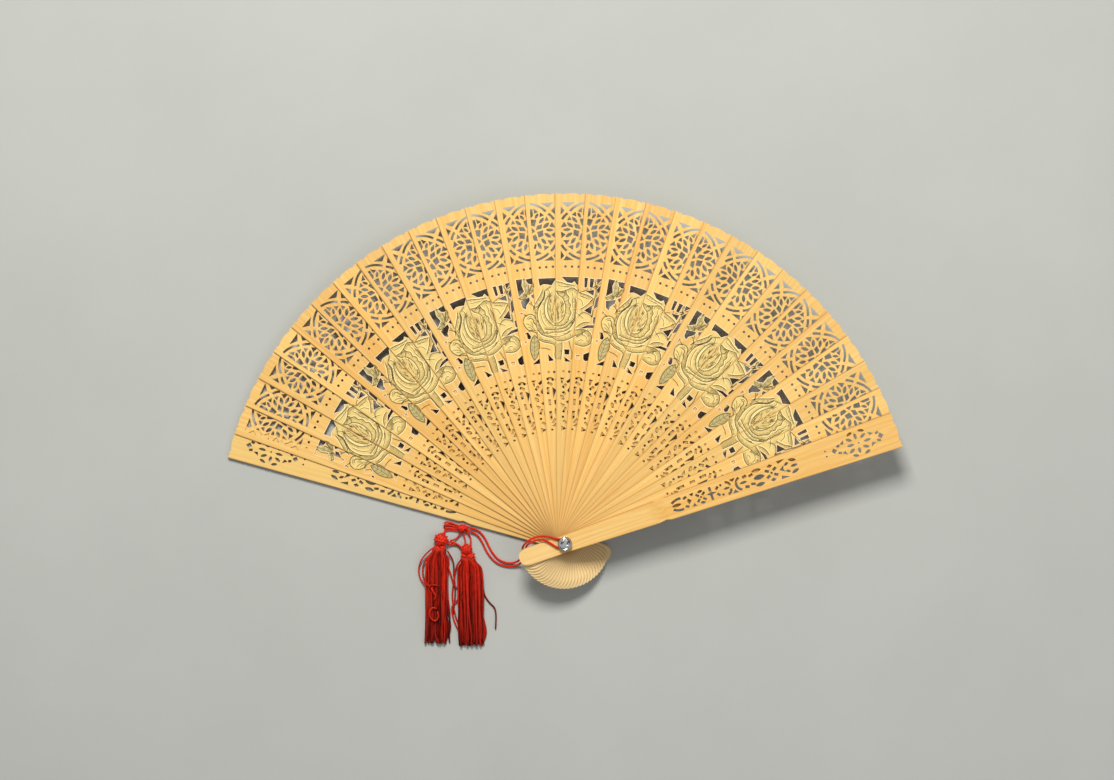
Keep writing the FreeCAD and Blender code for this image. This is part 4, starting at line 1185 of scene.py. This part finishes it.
def skirt_threads(builder, neck, full, bottom, count, draw):
    """Threads that hang from a tassel's neck (x, y), swell to full (x, y, half width) and end
    unevenly along bottom (left, right, y)."""
    layers = (0.75, 1.65, 2.55, 3.4, 4.1)
    left, right, low = bottom
    for k in range(count):
        u = -1 + 2 * (k + 0.5) / count + draw.uniform(-0.04, 0.04)
        z = layers[(3 * k) % len(layers)] * (1 - 0.22 * u * u) + draw.uniform(-0.15, 0.15)
        wide = full[0] + full[2] * u
        end = (left + right) / 2 + (right - left) / 2 * 0.95 * u
        end_y = low + 5.0 * draw.random() ** 2.0
        sway = draw.uniform(-0.8, 0.8) * (2.2 if k % 6 == 2 else 1.0)
        points = [(neck[0] + 1.9 * u, neck[1] + 0.9, 3.0),
                  (neck[0] + 3.2 * u, neck[1] - 0.9, min(4.6, z + 1.5)),
                  (neck[0] * 0.35 + wide * 0.65, (neck[1] + full[1]) / 2, z + 0.5),
                  (wide, full[1], z)]
        for share in (0.25, 0.45, 0.65, 0.85):
            wave = sway * math.sin(6.0 * share + u * 3) + draw.uniform(-0.25, 0.25)
            points.append((wide + (end - wide) * share + wave,
                           full[1] + (end_y - full[1]) * share, max(0.5, z * (1 - 0.35 * share))))
        points.append((end + draw.uniform(-0.6, 0.6), end_y, max(0.5, z * 0.55)))
        value = 1.0 - 0.85 * draw.random() ** 1.3
        strand_line(builder, points, draw.uniform(0.36, 0.56), value, 0.62)


def cord_and_tassels():
    satin = satin_material("cord_satin", *SATIN_RED, stripe=900.0, gloss=0.32)
    thread = satin_material("tassel_thread", *THREAD_RED, stripe=500.0, gloss=0.2)
    coat("cord_eye", satin)
    plied_cord("cord_strand_a", STRAND_A, satin)
    plied_cord("cord_strand_b", STRAND_B, satin)
    draw = random.Random(23)

    knot = Builder()
    wound_ball(knot, *BOW_KNOT, draw)
    fixed_piece(knot, "bow_knot_wound", satin, "bow_knot")

    loops = Builder()
    for tip_x, tip_y, low, high in BOW_LOOP_TIPS:
        rise = tip_y - BOW_MIDDLE_Y
        root_y = BOW_MIDDLE_Y - 0.9 + 0.25 * rise
        strand_line(loops, [(-53.8, root_y + 0.3, 2.6), (-57.4, root_y + 0.9 + 0.5 * rise, high),
                            (-60.6, tip_y + 0.6, high), (tip_x, tip_y + 0.2, (low + high) / 2),
                            (tip_x + 0.4, tip_y - 0.7, low), (-59.6, tip_y - 0.5, low),
                            (-56.6, root_y + 0.5 * rise, low + 0.5),
                            (-53.8, root_y - 0.3, 2.2)], LOOP_RADIUS, 0.85)
    fixed_piece(loops, "bow_loops_strands", satin, "bow_loops")

    links = Builder()
    for value, points in LINKS:
        strand_line(links, points, LINK_RADIUS, value)
    fixed_piece(links, "link_strands", satin, "tassel_links")

    for side, knots in (("left", LEFT_HEAD), ("right", RIGHT_HEAD)):
        head = Builder()
        for wound in knots:
            wound_ball(head, *wound, draw)
        fixed_piece(head, "tassel_%s_wound" % side, satin,
                    "tassel_%s_head" % side)

    for side, hang, strays in (("left", LEFT_SKIRT, LEFT_STRAYS),
                               ("right", RIGHT_SKIRT, RIGHT_STRAYS)):
        fringe = Builder()
        skirt_threads(fringe, *hang, draw)
        for value, points in strays:
            strand_line(fringe, points, STRAY_RADIUS, value, 0.1)
        fixed_piece(fringe, "tassel_%s_threads" % side, thread,
                    "tassel_%s_skirt" % side)


cord_and_tassels()


# ---------------------------------------------------------------- stage, light and camera

FLOOR_SIZE = 6.0
FLOOR_DROP = 0.0002             # keeps the board just clear of the lowest threads


def stage():
    bpy.ops.mesh.primitive_plane_add(size=FLOOR_SIZE, location=(0, 0, -FLOOR_DROP))
    floor = bpy.context.object
    floor.name = "floor"
    floor.data.materials.append(floor_material())


def area_light(name, place, size, power, colour):
    lamp = bpy.data.lights.new(name, "AREA")
    lamp.size = size
    lamp.energy = power
    lamp.color = colour
    holder = bpy.data.objects.new(name, lamp)
    holder.location = place
    holder.rotation_euler = (Vector(FAN_MIDDLE) - Vector(place)).to_track_quat("-Z", "Y").to_euler()
    bpy.context.scene.collection.objects.link(holder)


FAN_MIDDLE = (0, 0.08, 0)
WORLD_COLOUR = (0.95, 0.97, 1.0, 1.0)
WORLD_STRENGTH = 0.27


def lights():
    area_light("key", (-0.10, 0.92, 1.22), 0.45, 24.0, (1.0, 0.98, 0.94))
    area_light("fill", (0.9, -0.3, 1.3), 1.2, 5.0, (0.97, 0.98, 1.0))
    world = bpy.data.worlds.new("studio")
    world.use_nodes = True
    background = world.node_tree.nodes["Background"]
    background.inputs["Color"].default_value = WORLD_COLOUR
    background.inputs["Strength"].default_value = WORLD_STRENGTH
    bpy.context.scene.world = world
    bpy.context.scene.view_settings.view_transform = "Standard"


# The lens looks straight down on the fan from above its middle; the small shift keeps the
# rivet and the tassels in the lower part of the frame.
CAMERA_HEIGHT = 1.9
CAMERA_OVER = (0.0051, 0.1209)
VIEW_WIDTH = 0.578
SHIFT = (-0.016, -0.0736)
SENSOR = 36.0


def camera():
    data = bpy.data.cameras.new("camera")
    data.sensor_width = SENSOR
    data.lens = SENSOR * CAMERA_HEIGHT / VIEW_WIDTH
    data.shift_x, data.shift_y = SHIFT
    holder = bpy.data.objects.new("camera", data)
    holder.location = (*CAMERA_OVER, CAMERA_HEIGHT)
    bpy.context.scene.collection.objects.link(holder)
    bpy.context.scene.camera = holder


stage()
lights()
camera()
